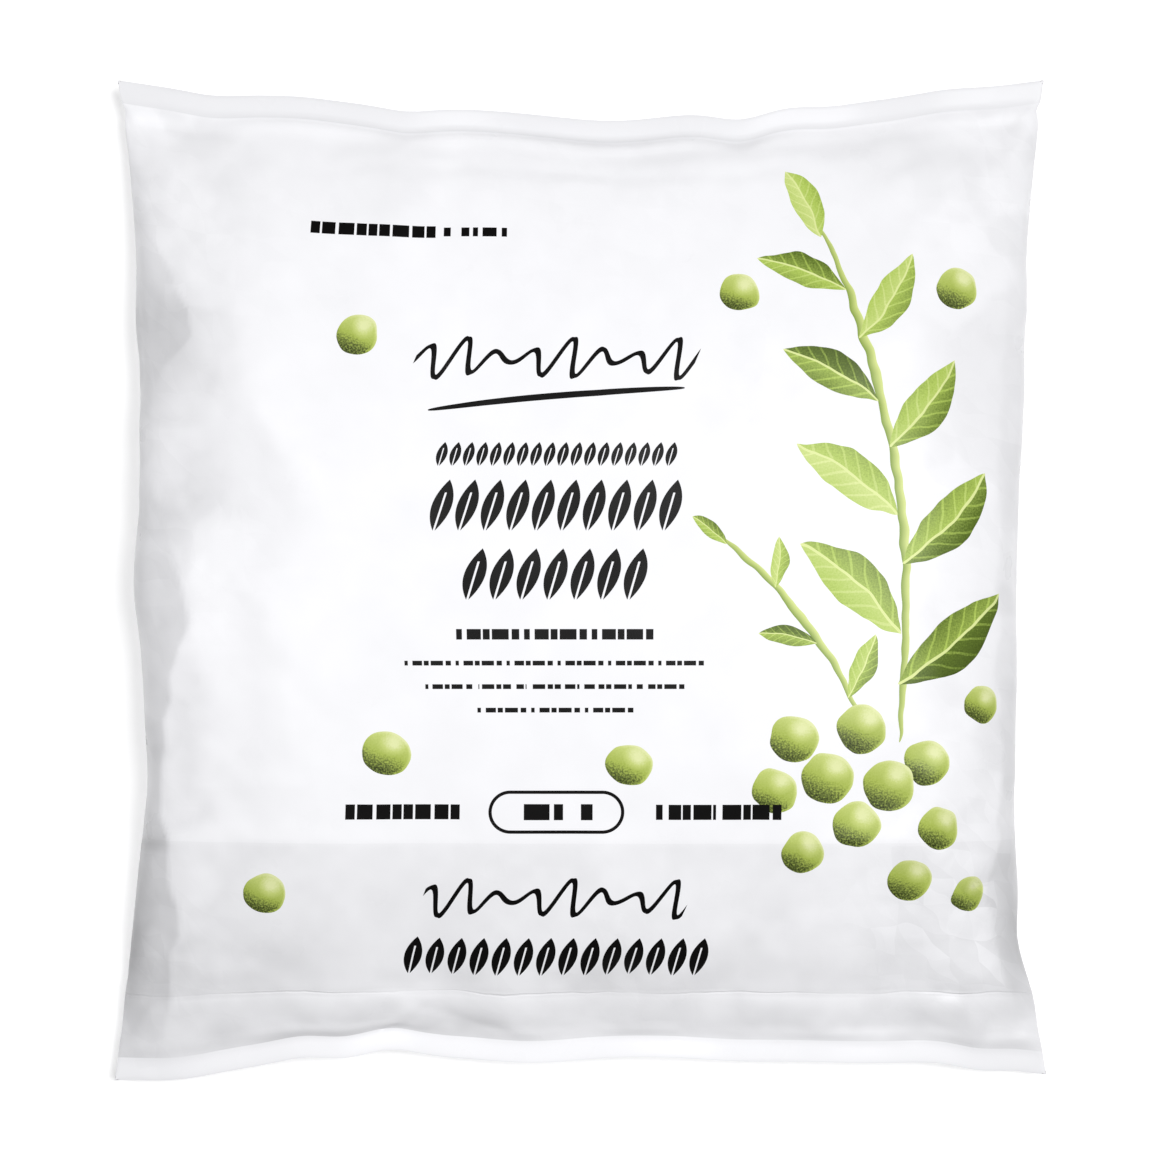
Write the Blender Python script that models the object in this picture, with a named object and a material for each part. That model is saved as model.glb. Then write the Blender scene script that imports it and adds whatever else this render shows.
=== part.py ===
"""A 500 g pillow bag of frozen peas, sealed at both ends, lying on its back with its printed front up.

+X runs across the bag, +Y towards its top seal and +Z up out of its front. The origin is on the floor
under the middle of the bag. The film is one closed sleeve: a flat front and back that bulge apart
between the two seals, where they lie together as thin wavy flanges.
"""

import math

import bmesh
import bpy
import numpy as np

MM = 0.001

# The empty sleeve, lying flat
SLEEVE_WIDTH = 200.4 * MM
SLEEVE_LENGTH = 214.6 * MM
SEAL_DEPTH = 5.6 * MM
SEAL_THICKNESS = 0.7 * MM

# The filled bag on the floor
WAIST_NARROWING = 7.1 * MM
SIDE_LINE_HEIGHT = 13.2 * MM
SEAL_HEIGHT = 10 * MM
CORNER_DROOP = 4 * MM
FLOOR_PRESS = 3.2 * MM

# How full the curves are: a higher power keeps more of the middle flat and turns later at the rim
SECTION_POWER = 4.0
WAIST_POWER = 2.6
SEAL_SAG_POWER = 2.2
BACK_POWER = 5.0
BACK_ROUNDING = 0.8
DROOP_POWER = 4

# How fast what happens at a seal dies away towards the middle of the bag
SAG_FADE = 3
BUMP_FADE = 8
HEIGHT_FADE = 1.5
CALM_MIDDLE = 0.4

# Two fold lines left by the packing machine run across the front, as distances up from the middle
BELLY_FOLD = -55 * MM
FOOT_FOLD = -88 * MM
FOLD_BOW = 1.6 * MM

# Height of the front above the seals along the middle of the bag: (distance up, height), in three
# stretches that meet at the two fold lines
SEAL_LINE = SLEEVE_LENGTH / 2 - SEAL_DEPTH
FRONT_STRETCHES = (
    ((-SEAL_LINE, 0.0), (-96 * MM, 2.8 * MM), (FOOT_FOLD, 5.0 * MM)),
    ((FOOT_FOLD, 5.0 * MM), (-80 * MM, 9.8 * MM), (-69 * MM, 15.0 * MM), (BELLY_FOLD, 20.0 * MM)),
    (
        (BELLY_FOLD, 20.0 * MM),
        (-30 * MM, 21.8 * MM),
        (2 * MM, 22.0 * MM),
        (38 * MM, 20.6 * MM),
        (64 * MM, 17.2 * MM),
        (84 * MM, 11.4 * MM),
        (95 * MM, 5.8 * MM),
        (SEAL_LINE, 0.0),
    ),
)

# Where the outline swells or dips from an even curve: (place along the edge, reach, push outwards)
LEFT_BUMPS = ((101, 24, -0.7), (54, 10, 0.9), (26, 13, 0.7), (0, 16, 2.3), (-45, 12, -1.1), (-86, 20, 0.5))
RIGHT_BUMPS = ((108, 16, -0.8), (51, 14, 0.7), (26, 18, 0.7), (-56, 22, -1.5), (-78, 8, -1.9))
TOP_BUMPS = ((-79, 6, -0.7), (-60, 11, 1.0), (-37, 6, -1.0), (-22, 9, 0.2), (7, 16, -2.0), (34, 7, -2.5),
             (53, 6, -0.6), (78, 8, 0.7))
BOTTOM_BUMPS = ((-87, 12, 1.7), (-59, 7, -1.4), (-41, 7, -2.1), (-10, 14, 1.5), (33, 13, 0.9),
                (83, 14, -2.0), (85, 7, 1.8))
TOP_SAG = 7.2 * MM
BOTTOM_SAG = 5.2 * MM

# Ripples of the two seals out of their own plane: (wavelength, height, shift along the seal)
TOP_RIPPLES = ((68, 1.5, 12), (37, 0.8, -9))
BOTTOM_RIPPLES = ((59, 1.7, -14), (33, 0.8, 6))

# Soft dents and swellings of the front: (across, up, long reach, short reach, turn in degrees, height)
DENTS = (
    (-76, 20, 26, 9, -38, -2.6),
    (-72, 47, 20, 11, -55, 1.2),
    (-84, -12, 10, 7, 90, 1.4),
    (-60, -20, 24, 13, 80, 0.9),
    (-79, 68, 24, 9, 78, -1.3),
    (-30, 62, 34, 15, 8, -1.0),
    (24, 76, 30, 12, -6, -0.9),
    (84, 44, 22, 9, 84, -1.5),
    (80, 8, 18, 11, 70, 0.9),
    (86, -24, 20, 8, 96, -1.6),
    (78, -44, 14, 9, 60, 1.1),
    (38, -34, 30, 18, 20, 0.7),
    (-18, 14, 40, 22, 35, 0.6),
    (-36, -72, 26, 8, 6, -0.8),
    (14, -80, 22, 7, -4, 1.3),
)

# Creases where the film buckles, worst towards the corners: (from x, y, to x, y, half width, depth)
CREASES = (
    (-94, -98, -76, -62, 6, 1.7),
    (95, -96, 80, -64, 6, 1.6),
    (-93, 97, -78, 74, 6, 1.2),
    (93, 96, 80, 72, 6, 1.2),
    (-85, -14, -84, -54, 5, 1.0),
    (-88, 24, -64, 3, 5, 1.0),
    (92, -40, 76, -60, 5, 1.1),
    (90, -62, 68, -74, 5, 0.9),
    (-50, -98, -20, -91, 5, 1.2),
    (18, 98, 30, 90, 5, 0.8),
)

# Relief starts where front and back have parted by this much
RELIEF_START = 6 * MM
CREASE_TAPER = 0.6

# The net of the film
COLUMNS = 52
LONGEST_ROW_STEP = 4.2 * MM
SECTION_SAMPLES = 241
SHARP_ANGLE = math.radians(50)


def smooth_step(share):
    """0 to 1 with level ends, for a share from 0 to 1."""
    share = np.clip(share, 0.0, 1.0)
    return share * share * (3 - 2 * share)


def through_points(points, place):
    """A smooth curve through a few (place, height) points, each stretch a cubic."""
    places = np.array([p for p, _ in points])
    heights = np.array([h for _, h in points])
    slopes = np.gradient(heights, places)
    i = int(np.clip(np.searchsorted(places, place) - 1, 0, len(places) - 2))
    step = places[i + 1] - places[i]
    s = (place - places[i]) / step
    return (
        (1 + 2 * s) * (1 - s) ** 2 * heights[i]
        + s * s * (3 - 2 * s) * heights[i + 1]
        + step * s * (1 - s) * ((1 - s) * slopes[i] - s * slopes[i + 1])
    )


def front_rise(up):
    """How high the front stands above the seals on the bag's middle line."""
    for stretch in FRONT_STRETCHES:
        if stretch[0][0] <= up <= stretch[-1][0]:
            return max(0.0, through_points(stretch, up))
    return 0.0


def back_drop(up):
    """How deep the back hangs below the seals on the middle line, before the floor flattens it."""
    share = min(1.0, abs(up) / SEAL_LINE)
    return (SEAL_HEIGHT + FLOOR_PRESS) * (1 - share**BACK_POWER) ** BACK_ROUNDING


def bumps(features, place):
    """Sum of soft bumps along an edge, all in millimetres, as metres."""
    return MM * sum(push * math.exp(-(((place / MM - at) / reach) ** 2)) for at, reach, push in features)


def ripples(features, across):
    """Sum of waves along a seal, all in millimetres, as metres."""
    return MM * sum(
        height * math.sin(2 * math.pi * (across / MM - shift) / wavelength)
        for wavelength, height, shift in features
    )


def half_widths(up):
    """How far the bag reaches to the left and to the right of its middle line."""
    waist = WAIST_NARROWING * (1 - (abs(up) * 2 / SLEEVE_LENGTH) ** WAIST_POWER)
    half = SLEEVE_WIDTH / 2 - waist
    return half + bumps(LEFT_BUMPS, up), half + bumps(RIGHT_BUMPS, up)


def drawn_in(across, up):
    """How far a seal is drawn towards the middle of the bag by the filling, fading away from the seals."""
    share = across / (SLEEVE_WIDTH / 2)
    depth = abs(up) * 2 / SLEEVE_LENGTH
    sag, features = (TOP_SAG, TOP_BUMPS) if up > 0 else (BOTTOM_SAG, BOTTOM_BUMPS)
    even = sag * (1 - abs(share) ** SEAL_SAG_POWER) * depth**SAG_FADE
    uneven = bumps(features, across) * depth**BUMP_FADE
    return (even - uneven) * (-1 if up > 0 else 1)


def middle_height(across, up):
    """Height where front and back would meet: the side line at the waist, the seals at the ends."""
    share = abs(across) / (SLEEVE_WIDTH / 2)
    depth = smooth_step(abs(up) * 2 / SLEEVE_LENGTH)
    features = TOP_RIPPLES if up > 0 else BOTTOM_RIPPLES
    calm = CALM_MIDDLE + (1 - CALM_MIDDLE) * share
    at_seal = SEAL_HEIGHT + ripples(features, across) * calm - CORNER_DROOP * share**DROOP_POWER
    return SIDE_LINE_HEIGHT + (at_seal - SIDE_LINE_HEIGHT) * depth**HEIGHT_FADE


def relief(across, up):
    """Dents, swellings and creases of the front, as a height."""
    x, y = across / MM, up / MM
    height = 0.0
    for at_x, at_y, long_reach, short_reach, turn, rise in DENTS:
        c, s = math.cos(math.radians(turn)), math.sin(math.radians(turn))
        along, beside = (x - at_x) * c + (y - at_y) * s, (y - at_y) * c - (x - at_x) * s
        height += rise * math.exp(-((along / long_reach) ** 2) - (beside / short_reach) ** 2)
    for from_x, from_y, to_x, to_y, half_width, depth in CREASES:
        run_x, run_y = to_x - from_x, to_y - from_y
        length = math.hypot(run_x, run_y)
        along = ((x - from_x) * run_x + (y - from_y) * run_y) / length
        beside = abs((y - from_y) * run_x - (x - from_x) * run_y) / length
        if 0 < along < length and beside < half_width:
            fade = math.sin(math.pi * along / length) ** CREASE_TAPER
            height -= depth * fade * (1 - beside / half_width)
    return height * MM


def section(up, front):
    """Half of the film at one height: points (x, z) evenly spaced along the film, left to right."""
    left, right = half_widths(up)
    angle = np.linspace(math.pi, 0.0, SECTION_SAMPLES)
    reach = np.where(np.cos(angle) < 0, left, right)
    x = np.sign(np.cos(angle)) * np.abs(np.cos(angle)) ** (2 / SECTION_POWER) * reach
    bulge = np.sqrt(np.clip(1 - np.abs(x / reach) ** SECTION_POWER, 0, 1))
    rise = front_rise(up) if front else -back_drop(up)
    z = bulge * rise
    run = np.concatenate([[0.0], np.cumsum(np.hypot(np.diff(x), np.diff(z)))])
    evenly = np.linspace(0, run[-1], COLUMNS + 1)
    return np.interp(evenly, run, x), np.interp(evenly, run, z)


def film_points(stations, front):
    """Every point of the front or back film, one row of points for each station up the bag."""
    rows = []
    for up in stations:
        xs, zs = section(up, front)
        row = []
        for x, z in zip(xs, zs):
            share = x / (SLEEVE_WIDTH / 2)
            y = up + drawn_in(x, up) - FOLD_BOW * (1 - share**2) * math.cos(math.pi * up / SLEEVE_LENGTH)
            base = middle_height(x, up)
            if front:
                open_share = smooth_step(z / RELIEF_START)
                height = base + z + SEAL_THICKNESS / 2 + relief(x, y) * open_share
            else:
                height = max(0.0, base + z - SEAL_THICKNESS / 2)
            row.append((x, y, height))
        rows.append(row)
    return rows


def row_stations():
    """Rows up the bag, denser than the longest step, with one row on each fold line and seal line."""
    half = SLEEVE_LENGTH / 2
    marks = (-half, -SEAL_LINE, FOOT_FOLD, BELLY_FOLD, SEAL_LINE, half)
    stations = [marks[0]]
    for low, high in zip(marks, marks[1:]):
        steps = math.ceil((high - low) / LONGEST_ROW_STEP)
        stations += [low + (high - low) * (i + 1) / steps for i in range(steps)]
    return stations


def film_material():
    """White polyethylene film with a soft sheen."""
    material = bpy.data.materials.new("white_film")
    material.use_nodes = True
    shader = material.node_tree.nodes["Principled BSDF"]
    shader.inputs["Base Color"].default_value = (0.90, 0.90, 0.91, 1.0)
    shader.inputs["Roughness"].default_value = 0.42
    shader.inputs["Metallic"].default_value = 0.0
    return material


def flat_sleeve(columns, rows):
    """A grid extruded into a thin closed box: its lower sheet is the back, its upper sheet the front."""
    bm = bmesh.new()
    bmesh.ops.create_grid(bm, x_segments=columns, y_segments=rows, size=0.5)
    extruded = bmesh.ops.extrude_face_region(bm, geom=bm.faces[:])
    lifted = [item for item in extruded["geom"] if isinstance(item, bmesh.types.BMVert)]
    bmesh.ops.translate(bm, verts=lifted, vec=(0, 0, 1))
    bmesh.ops.recalc_face_normals(bm, faces=bm.faces[:])
    return bm


def make_bag():
    """The filled bag as one closed solid."""
    stations = row_stations()
    rows = len(stations) - 1
    films = {front: film_points(stations, front) for front in (False, True)}
    bm = flat_sleeve(COLUMNS, rows)
    for vert in bm.verts:
        column = round((vert.co.x + 0.5) * COLUMNS)
        row = round((vert.co.y + 0.5) * rows)
        vert.co = films[vert.co.z > 0.5][row][column]
    mesh = bpy.data.meshes.new("bag")
    bm.to_mesh(mesh)
    bm.free()
    centre_on_floor(mesh)
    mesh.shade_smooth()
    mesh.set_sharp_from_angle(angle=SHARP_ANGLE)
    mesh.materials.append(film_material())
    bag = bpy.data.objects.new("bag", mesh)
    bpy.context.scene.collection.objects.link(bag)
    return bag


def centre_on_floor(mesh):
    """Moves the mesh so that the origin is under the middle of its box, on the floor."""
    points = np.array([vert.co for vert in mesh.vertices])
    low, high = points.min(axis=0), points.max(axis=0)
    for vert in mesh.vertices:
        vert.co.x -= (low[0] + high[0]) / 2
        vert.co.y -= (low[1] + high[1]) / 2
        vert.co.z -= low[2]


def main():
    for obj in list(bpy.data.objects):
        bpy.data.objects.remove(obj)
    make_bag()


main()
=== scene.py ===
# %% [markdown]
# # A white pillow bag of frozen peas
# The bag is one sleeve of thin white film. It is sealed flat across both ends and filled with loose
# peas, and it lies on its back with the printed front up. This script dresses the plain solid of the
# bag in real film: a fine net of faces that follows the solid, creases where the machine folded it,
# buckles where the film has slack, and carries a print of its own.
#
# The frame gives the solid at its true size in metres. Nothing else is read from disk.

# %% Load the frame
import math
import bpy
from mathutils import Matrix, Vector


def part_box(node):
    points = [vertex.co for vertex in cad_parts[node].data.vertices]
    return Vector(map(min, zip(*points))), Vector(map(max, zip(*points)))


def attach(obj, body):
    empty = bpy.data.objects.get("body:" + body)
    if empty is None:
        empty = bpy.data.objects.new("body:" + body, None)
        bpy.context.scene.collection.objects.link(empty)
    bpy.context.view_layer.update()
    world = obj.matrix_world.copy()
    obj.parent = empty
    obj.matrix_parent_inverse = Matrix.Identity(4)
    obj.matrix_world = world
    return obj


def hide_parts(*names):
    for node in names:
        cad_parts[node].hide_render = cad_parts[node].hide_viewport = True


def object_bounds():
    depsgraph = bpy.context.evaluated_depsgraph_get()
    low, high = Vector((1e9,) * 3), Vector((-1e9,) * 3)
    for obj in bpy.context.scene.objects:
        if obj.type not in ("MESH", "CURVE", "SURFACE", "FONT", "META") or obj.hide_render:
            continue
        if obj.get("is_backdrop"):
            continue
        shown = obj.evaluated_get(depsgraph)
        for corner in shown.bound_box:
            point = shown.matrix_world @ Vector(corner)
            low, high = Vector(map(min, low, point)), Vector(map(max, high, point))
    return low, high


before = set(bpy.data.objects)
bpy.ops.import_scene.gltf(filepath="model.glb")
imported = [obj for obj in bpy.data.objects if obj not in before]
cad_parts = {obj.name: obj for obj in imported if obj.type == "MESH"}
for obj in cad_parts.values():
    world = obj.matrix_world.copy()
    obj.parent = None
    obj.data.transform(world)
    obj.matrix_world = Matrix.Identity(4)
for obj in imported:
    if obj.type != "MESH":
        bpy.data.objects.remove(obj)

from inspect import signature

import bmesh
import bpy
import numpy as np
from mathutils import Vector
from mathutils.bvhtree import BVHTree

MM = 0.001
cad_low, cad_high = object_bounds()
bag_low, bag_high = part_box("bag")
bag_size = bag_high - bag_low
print("bag", [round(v / MM, 1) for v in bag_size], "mm")

# %% [markdown]
# ## The camera
# The bag lies down and is seen as if it hung on a wall, so the camera is straight above it and looks
# down. A camera with no rotation looks along -Z with +Y up in the picture, which is just that. The
# distance sets the perspective. A pack shot is taken from about a metre, and the lens then follows
# from how much of the floor the picture shows.

# %% Camera
CAMERA_HEIGHT = 1020 * MM
SEAL_LEVEL = 12 * MM
PICTURE_WIDTH = 247.8 * MM
SENSOR = 36.0

camera_data = bpy.data.cameras.new("camera")
camera_data.sensor_width = SENSOR
camera_data.lens = SENSOR * (CAMERA_HEIGHT - SEAL_LEVEL) / PICTURE_WIDTH
camera = bpy.data.objects.new("camera", camera_data)
camera.location = (0.0, 0.0, CAMERA_HEIGHT)
bpy.context.scene.collection.objects.link(camera)
bpy.context.scene.camera = camera
print("lens", round(camera_data.lens, 1), "mm")

# %% [markdown]
# ## A smooth form to work from
# The solid has flat faces about 4 mm across, made for a physics engine. Film shows every flat, so it
# is laid over a smoother form. The form is a copy of the solid: its loose triangles are merged, paired
# into quads, and its sharp rims are creased so that two rounds of subdivision don't pull them in.

# %% Smooth form
RIM_ANGLE = math.radians(50)
MERGE = 0.01 * MM


def deselect():
    for obj in bpy.context.selected_objects:
        obj.select_set(False)


def make_active(obj):
    """Selects one object alone, ready for an operator."""
    deselect()
    obj.select_set(True)
    bpy.context.view_layer.objects.active = obj


def apply_modifier(obj, modifier):
    make_active(obj)
    bpy.ops.object.modifier_apply(modifier=modifier.name)


def smooth_form():
    form = bpy.data.objects.new("form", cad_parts["bag"].data.copy())
    bpy.context.scene.collection.objects.link(form)
    make_active(form)
    bpy.ops.object.mode_set(mode="EDIT")
    bpy.ops.mesh.select_all(action="SELECT")
    bpy.ops.mesh.remove_doubles(threshold=MERGE)
    bpy.ops.mesh.tris_convert_to_quads(face_threshold=math.pi, shape_threshold=math.pi)
    bpy.ops.mesh.select_all(action="DESELECT")
    bpy.ops.mesh.edges_select_sharp(sharpness=RIM_ANGLE)
    bpy.ops.transform.edge_crease(value=1.0)
    bpy.ops.object.mode_set(mode="OBJECT")
    rounding = form.modifiers.new("rounding", "SUBSURF")
    rounding.levels = rounding.render_levels = 2
    apply_modifier(form, rounding)
    return form


form = smooth_form()
print("form", len(form.data.polygons), "faces")

# %% [markdown]
# ## The flat sleeve
# A bag machine folds a web of film into a tube and presses it flat, so the sleeve starts as two sheets
# that share their rims. Here a grid with the net's rows and columns is added and extruded upwards, and
# its size is one for now: the lower sheet is the back, the upper one the front. Rows will be at most
# 2 mm apart, with a row exactly on each seal line and on each of the two folds that the machine left
# across the front, so that a fold can be sharp.

# %% Flat sleeve
FILM_WIDTH = bag_size.x
FILM_LENGTH = bag_size.y
SEAL_DEPTH = 4.9 * MM
BELLY_FOLD = -55 * MM
SEAL_LINE = FILM_LENGTH / 2 - SEAL_DEPTH
FOOT_FOLD = -88.9 * MM
NET_STEP = 2.0 * MM
NET_COLUMNS = 100
BACK, FRONT = 0, 1


def row_places():
    """Places of the net's rows up the sleeve, with a row on each seal line and fold."""
    half = FILM_LENGTH / 2
    marks = (-half, -SEAL_LINE, FOOT_FOLD, BELLY_FOLD, SEAL_LINE, half)
    places = [-half]
    for low, high in zip(marks, marks[1:]):
        steps = math.ceil((high - low) / NET_STEP)
        places += [low + (high - low) * (i + 1) / steps for i in range(steps)]
    return np.array(places)


def put_in_order(mesh):
    """Sorts edges and faces by their points, because the extrusion leaves them in a new order each run."""
    count = len(mesh.vertices)

    def number(item):
        points = sorted(vertex.index for vertex in item.verts)
        return float((points[0] * count + points[1]) * count + points[-1])

    net = bmesh.new()
    net.from_mesh(mesh)
    net.edges.sort(key=number)
    net.faces.sort(key=number)
    net.to_mesh(mesh)
    net.free()


def flat_sleeve(rows):
    deselect()
    bpy.ops.mesh.primitive_grid_add(x_subdivisions=NET_COLUMNS, y_subdivisions=len(rows) - 1, size=1.0)
    sleeve = bpy.context.object
    sleeve.name = sleeve.data.name = "film_bag"
    bpy.ops.object.mode_set(mode="EDIT")
    bpy.ops.mesh.select_all(action="SELECT")
    bpy.ops.mesh.extrude_region_move(TRANSFORM_OT_translate={"value": (0.0, 0.0, 1.0)})
    bpy.ops.mesh.select_all(action="SELECT")
    bpy.ops.mesh.normals_make_consistent(inside=False)
    bpy.ops.object.mode_set(mode="OBJECT")
    put_in_order(sleeve.data)
    return sleeve


def read(items, field, width=1, kind=float):
    """One field of all items of a mesh, as an array with a row for each item."""
    values = np.empty(len(items) * width, kind)
    items.foreach_get(field, values)
    return values.reshape(-1, width) if width > 1 else values


def points_of(mesh):
    return read(mesh.vertices, "co", 3)


def set_points(mesh, points):
    mesh.vertices.foreach_set("co", np.asarray(points, np.float32).ravel())
    mesh.update()


rows = row_places()
film = flat_sleeve(rows)
grid = points_of(film.data)
column_of = np.rint((grid[:, 0] + 0.5) * NET_COLUMNS).astype(int)
row_of = np.rint((grid[:, 1] + 0.5) * (len(rows) - 1)).astype(int)
sheet_of = np.rint(grid[:, 2]).astype(int)
print("sleeve", NET_COLUMNS, "by", len(rows) - 1, "cells,", len(grid), "points")

# %% [markdown]
# ## Laying the film on the form
# Each row of the net is a line across the bag. The rows in the middle are straight, and towards the
# ends they bend until the rows of a seal follow its wavy end. The foot fold is nearly straight, so the
# rows bend late there. Where an end lies is felt with rays that fall on the form from above.

# %% Ends of the bag
ROW_BENDS = {-1: 10.0, 1: 3.3}
RAY_HEIGHT = 100 * MM
INSET = 0.05 * MM
END_STEP = 0.5 * MM
BISECTIONS = 12
END_SEARCH = 1.02
END_SPAN, END_PLACES = 0.984, 99

tree = BVHTree.FromObject(form, bpy.context.evaluated_depsgraph_get())


def surface(x, y, sheet):
    """Height of the form's front or back at a place, or None beside it."""
    side = 1 if sheet == FRONT else -1
    hit = tree.ray_cast((x, y, side * RAY_HEIGHT), (0, 0, -side))[0]
    return None if hit is None else hit.z


def last_inside(is_inside, inner, outer):
    """The place between inner and outer where a test stops being true, by halving."""
    for _ in range(BISECTIONS):
        middle = (inner + outer) / 2
        if is_inside(middle):
            inner = middle
        else:
            outer = middle
    return inner


def end_at(x, end):
    """Where the bag ends at one place across it, looked for from outside."""
    outer = inner = end * END_SEARCH * FILM_LENGTH / 2
    while surface(x, inner, FRONT) is None:
        outer, inner = inner, inner - end * END_STEP
    return last_inside(lambda y: surface(x, y, FRONT) is not None, inner, outer) - end * INSET


def end_profile(end):
    """How far the real end of the bag lies beyond a straight one: places across, and differences."""
    across = np.linspace(-END_SPAN, END_SPAN, END_PLACES) * FILM_WIDTH / 2
    return across, np.array([end_at(x, end) for x in across]) - end * FILM_LENGTH / 2


profiles = {end: end_profile(end) for end in (-1, 1)}


def row_line(place, x):
    """The y of one row at places x across the bag."""
    end = 1 if place > 0 else -1
    share = min(abs(place) / SEAL_LINE, 1.0)
    return place + np.interp(x, *profiles[end]) * share ** ROW_BENDS[end]


print("waves of the ends", [round(float(np.ptp(ends)) / MM, 1) for _, ends in profiles.values()], "mm")

# %% [markdown]
# Rays from above and from below find the two surfaces along each row, and the points are then spread
# evenly by length along the film, not across the floor, so the cells stay even where the sides turn
# down. The middle column stays in the middle, as the print is centred there. The seal strips are
# pressed to a thin edge, because two layers of film are far thinner than a solid can be.

# %% Lay the film
SAMPLES = 161
FILM_GAP = 0.22 * MM
SIDE_INNER, SIDE_OUTER = 0.7, 1.1


def spread(line):
    """The net's points along a line, evenly spaced by length on each side of the bag's middle."""
    steps = np.linalg.norm(np.diff(line, axis=0), axis=1)
    run = np.concatenate([[0.0], np.cumsum(steps)])
    middle = np.interp(0.0, line[:, 0], run)
    half = NET_COLUMNS // 2 + 1
    even = np.concatenate([np.linspace(0.0, middle, half), np.linspace(middle, run[-1], half)[1:]])
    return np.stack([np.interp(even, run, line[:, axis]) for axis in range(3)], axis=1)


def laid_row(place):
    """One row of the net on the form: its back points and its front points."""
    def inside(x):
        return surface(x, float(row_line(place, x)), FRONT) is not None

    half = FILM_WIDTH / 2
    left = last_inside(inside, -SIDE_INNER * half, -SIDE_OUTER * half) + INSET
    right = last_inside(inside, SIDE_INNER * half, SIDE_OUTER * half) - INSET
    turn = np.linspace(0.0, math.pi, SAMPLES)
    x = (left + right) / 2 - (right - left) / 2 * np.cos(turn)
    y = row_line(place, x)
    z = {}
    for sheet in (BACK, FRONT):
        heights = [surface(float(px), float(py), sheet) for px, py in zip(x, y)]
        known = [i for i, height in enumerate(heights) if height is not None]
        z[sheet] = np.interp(np.arange(SAMPLES), known, [heights[i] for i in known])
    middle = (z[BACK] + z[FRONT]) / 2
    for sheet in (BACK, FRONT):
        z[sheet][[0, -1]] = middle[[0, -1]]
    return [spread(np.stack([x, y, z[sheet]], axis=1)) for sheet in (BACK, FRONT)]


net = np.array([laid_row(place) for place in rows])
points = net[row_of, sheet_of, column_of]
middle = net.mean(axis=1)[row_of, column_of]
in_seal = np.abs(rows[row_of]) > SEAL_LINE - MERGE
on_side = (column_of == 0) | (column_of == NET_COLUMNS)
half_gap = np.where(sheet_of == FRONT, FILM_GAP, -FILM_GAP) / 2
points[in_seal, 2] = middle[in_seal, 2] + half_gap[in_seal]
points[on_side, 2] = middle[on_side, 2] + half_gap[on_side]
set_points(film.data, points)
bpy.data.objects.remove(form)
print("film laid,", round(points[:, 2].max() / MM, 1), "mm high")

# %% [markdown]
# ## Slack in the film
# A filled bag always has a little more film than its contents need, and the spare film buckles into
# soft puckers along the seals and the sides. Blender's cloth solver finds those by itself: the film is
# given a little more length than the form has (a negative shrink), it is held at both seals, and a
# slight pressure stands for the peas that push outwards. Gravity is off, because the peas carry the
# film.

# %% Cloth
SIM_FRAMES = 16
SPARE_FILM = 0.012
PRESSURE = 1.2
FILM_STIFFNESS = 25.0
BENDING = 0.35
CLOTH_STEPS, CLOTH_MASS = 5, 0.15


def solve_cloth(film):
    """Lets the cloth solver loosen the film and applies it. Returns how far each point moved."""
    before = points_of(film.data)
    held = film.vertex_groups.new(name="held")
    held.add([int(i) for i in np.flatnonzero(in_seal)], 1.0, "REPLACE")
    cloth = film.modifiers.new("slack", "CLOTH")
    settings = cloth.settings
    settings.quality = CLOTH_STEPS
    settings.mass = CLOTH_MASS
    for way in ("tension", "compression", "shear"):
        setattr(settings, way + "_stiffness", FILM_STIFFNESS)
    settings.bending_stiffness = BENDING
    settings.shrink_min = -SPARE_FILM
    settings.use_pressure = True
    settings.uniform_pressure_force = PRESSURE
    settings.vertex_group_mass = "held"
    settings.effector_weights.gravity = 0.0
    cloth.collision_settings.use_collision = False
    cloth.collision_settings.use_self_collision = False
    for step in range(1, SIM_FRAMES + 1):
        bpy.context.scene.frame_set(step)
    apply_modifier(film, cloth)
    bpy.context.scene.frame_set(1)
    film.vertex_groups.clear()
    return points_of(film.data) - before


moved = np.zeros(points.shape)
moved = solve_cloth(film)
print("moved up to", round(float(np.linalg.norm(moved, axis=1).max()) / MM, 2), "mm")

# %% [markdown]
# The solver also lets the whole bag swell, which the peas would not. So the moves are blurred over the
# net, the blurred part is taken off again, and only the buckles stay. Away from the seals the peas keep
# the film taut, and most of the buckles are flattened there.

# %% Buckles
LEAST_MOVED, MOST_MOVED = 0.001 * MM, 2.2 * MM
SWELL_BLUR = 9 * MM
SWELL_KEPT = 0.15
SEAL_REACH = 24 * MM
KEPT_ON_BELLY, KEPT_BY_SEAL = 0.2, 0.7


def blur(field, reach):
    """A net of vectors blurred along its rows and columns with a bell curve."""
    steps = math.ceil(2 * reach / NET_STEP)
    weights = np.exp(-0.5 * (np.arange(-steps, steps + 1) * NET_STEP / reach) ** 2)
    weights /= weights.sum()
    for axis in (0, 1):
        pad = [(steps, steps) if a == axis else (0, 0) for a in range(field.ndim)]
        padded = np.pad(field, pad, mode="edge")
        count = field.shape[axis]
        field = sum(w * np.take(padded, range(i, i + count), axis) for i, w in enumerate(weights))
    return field


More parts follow.
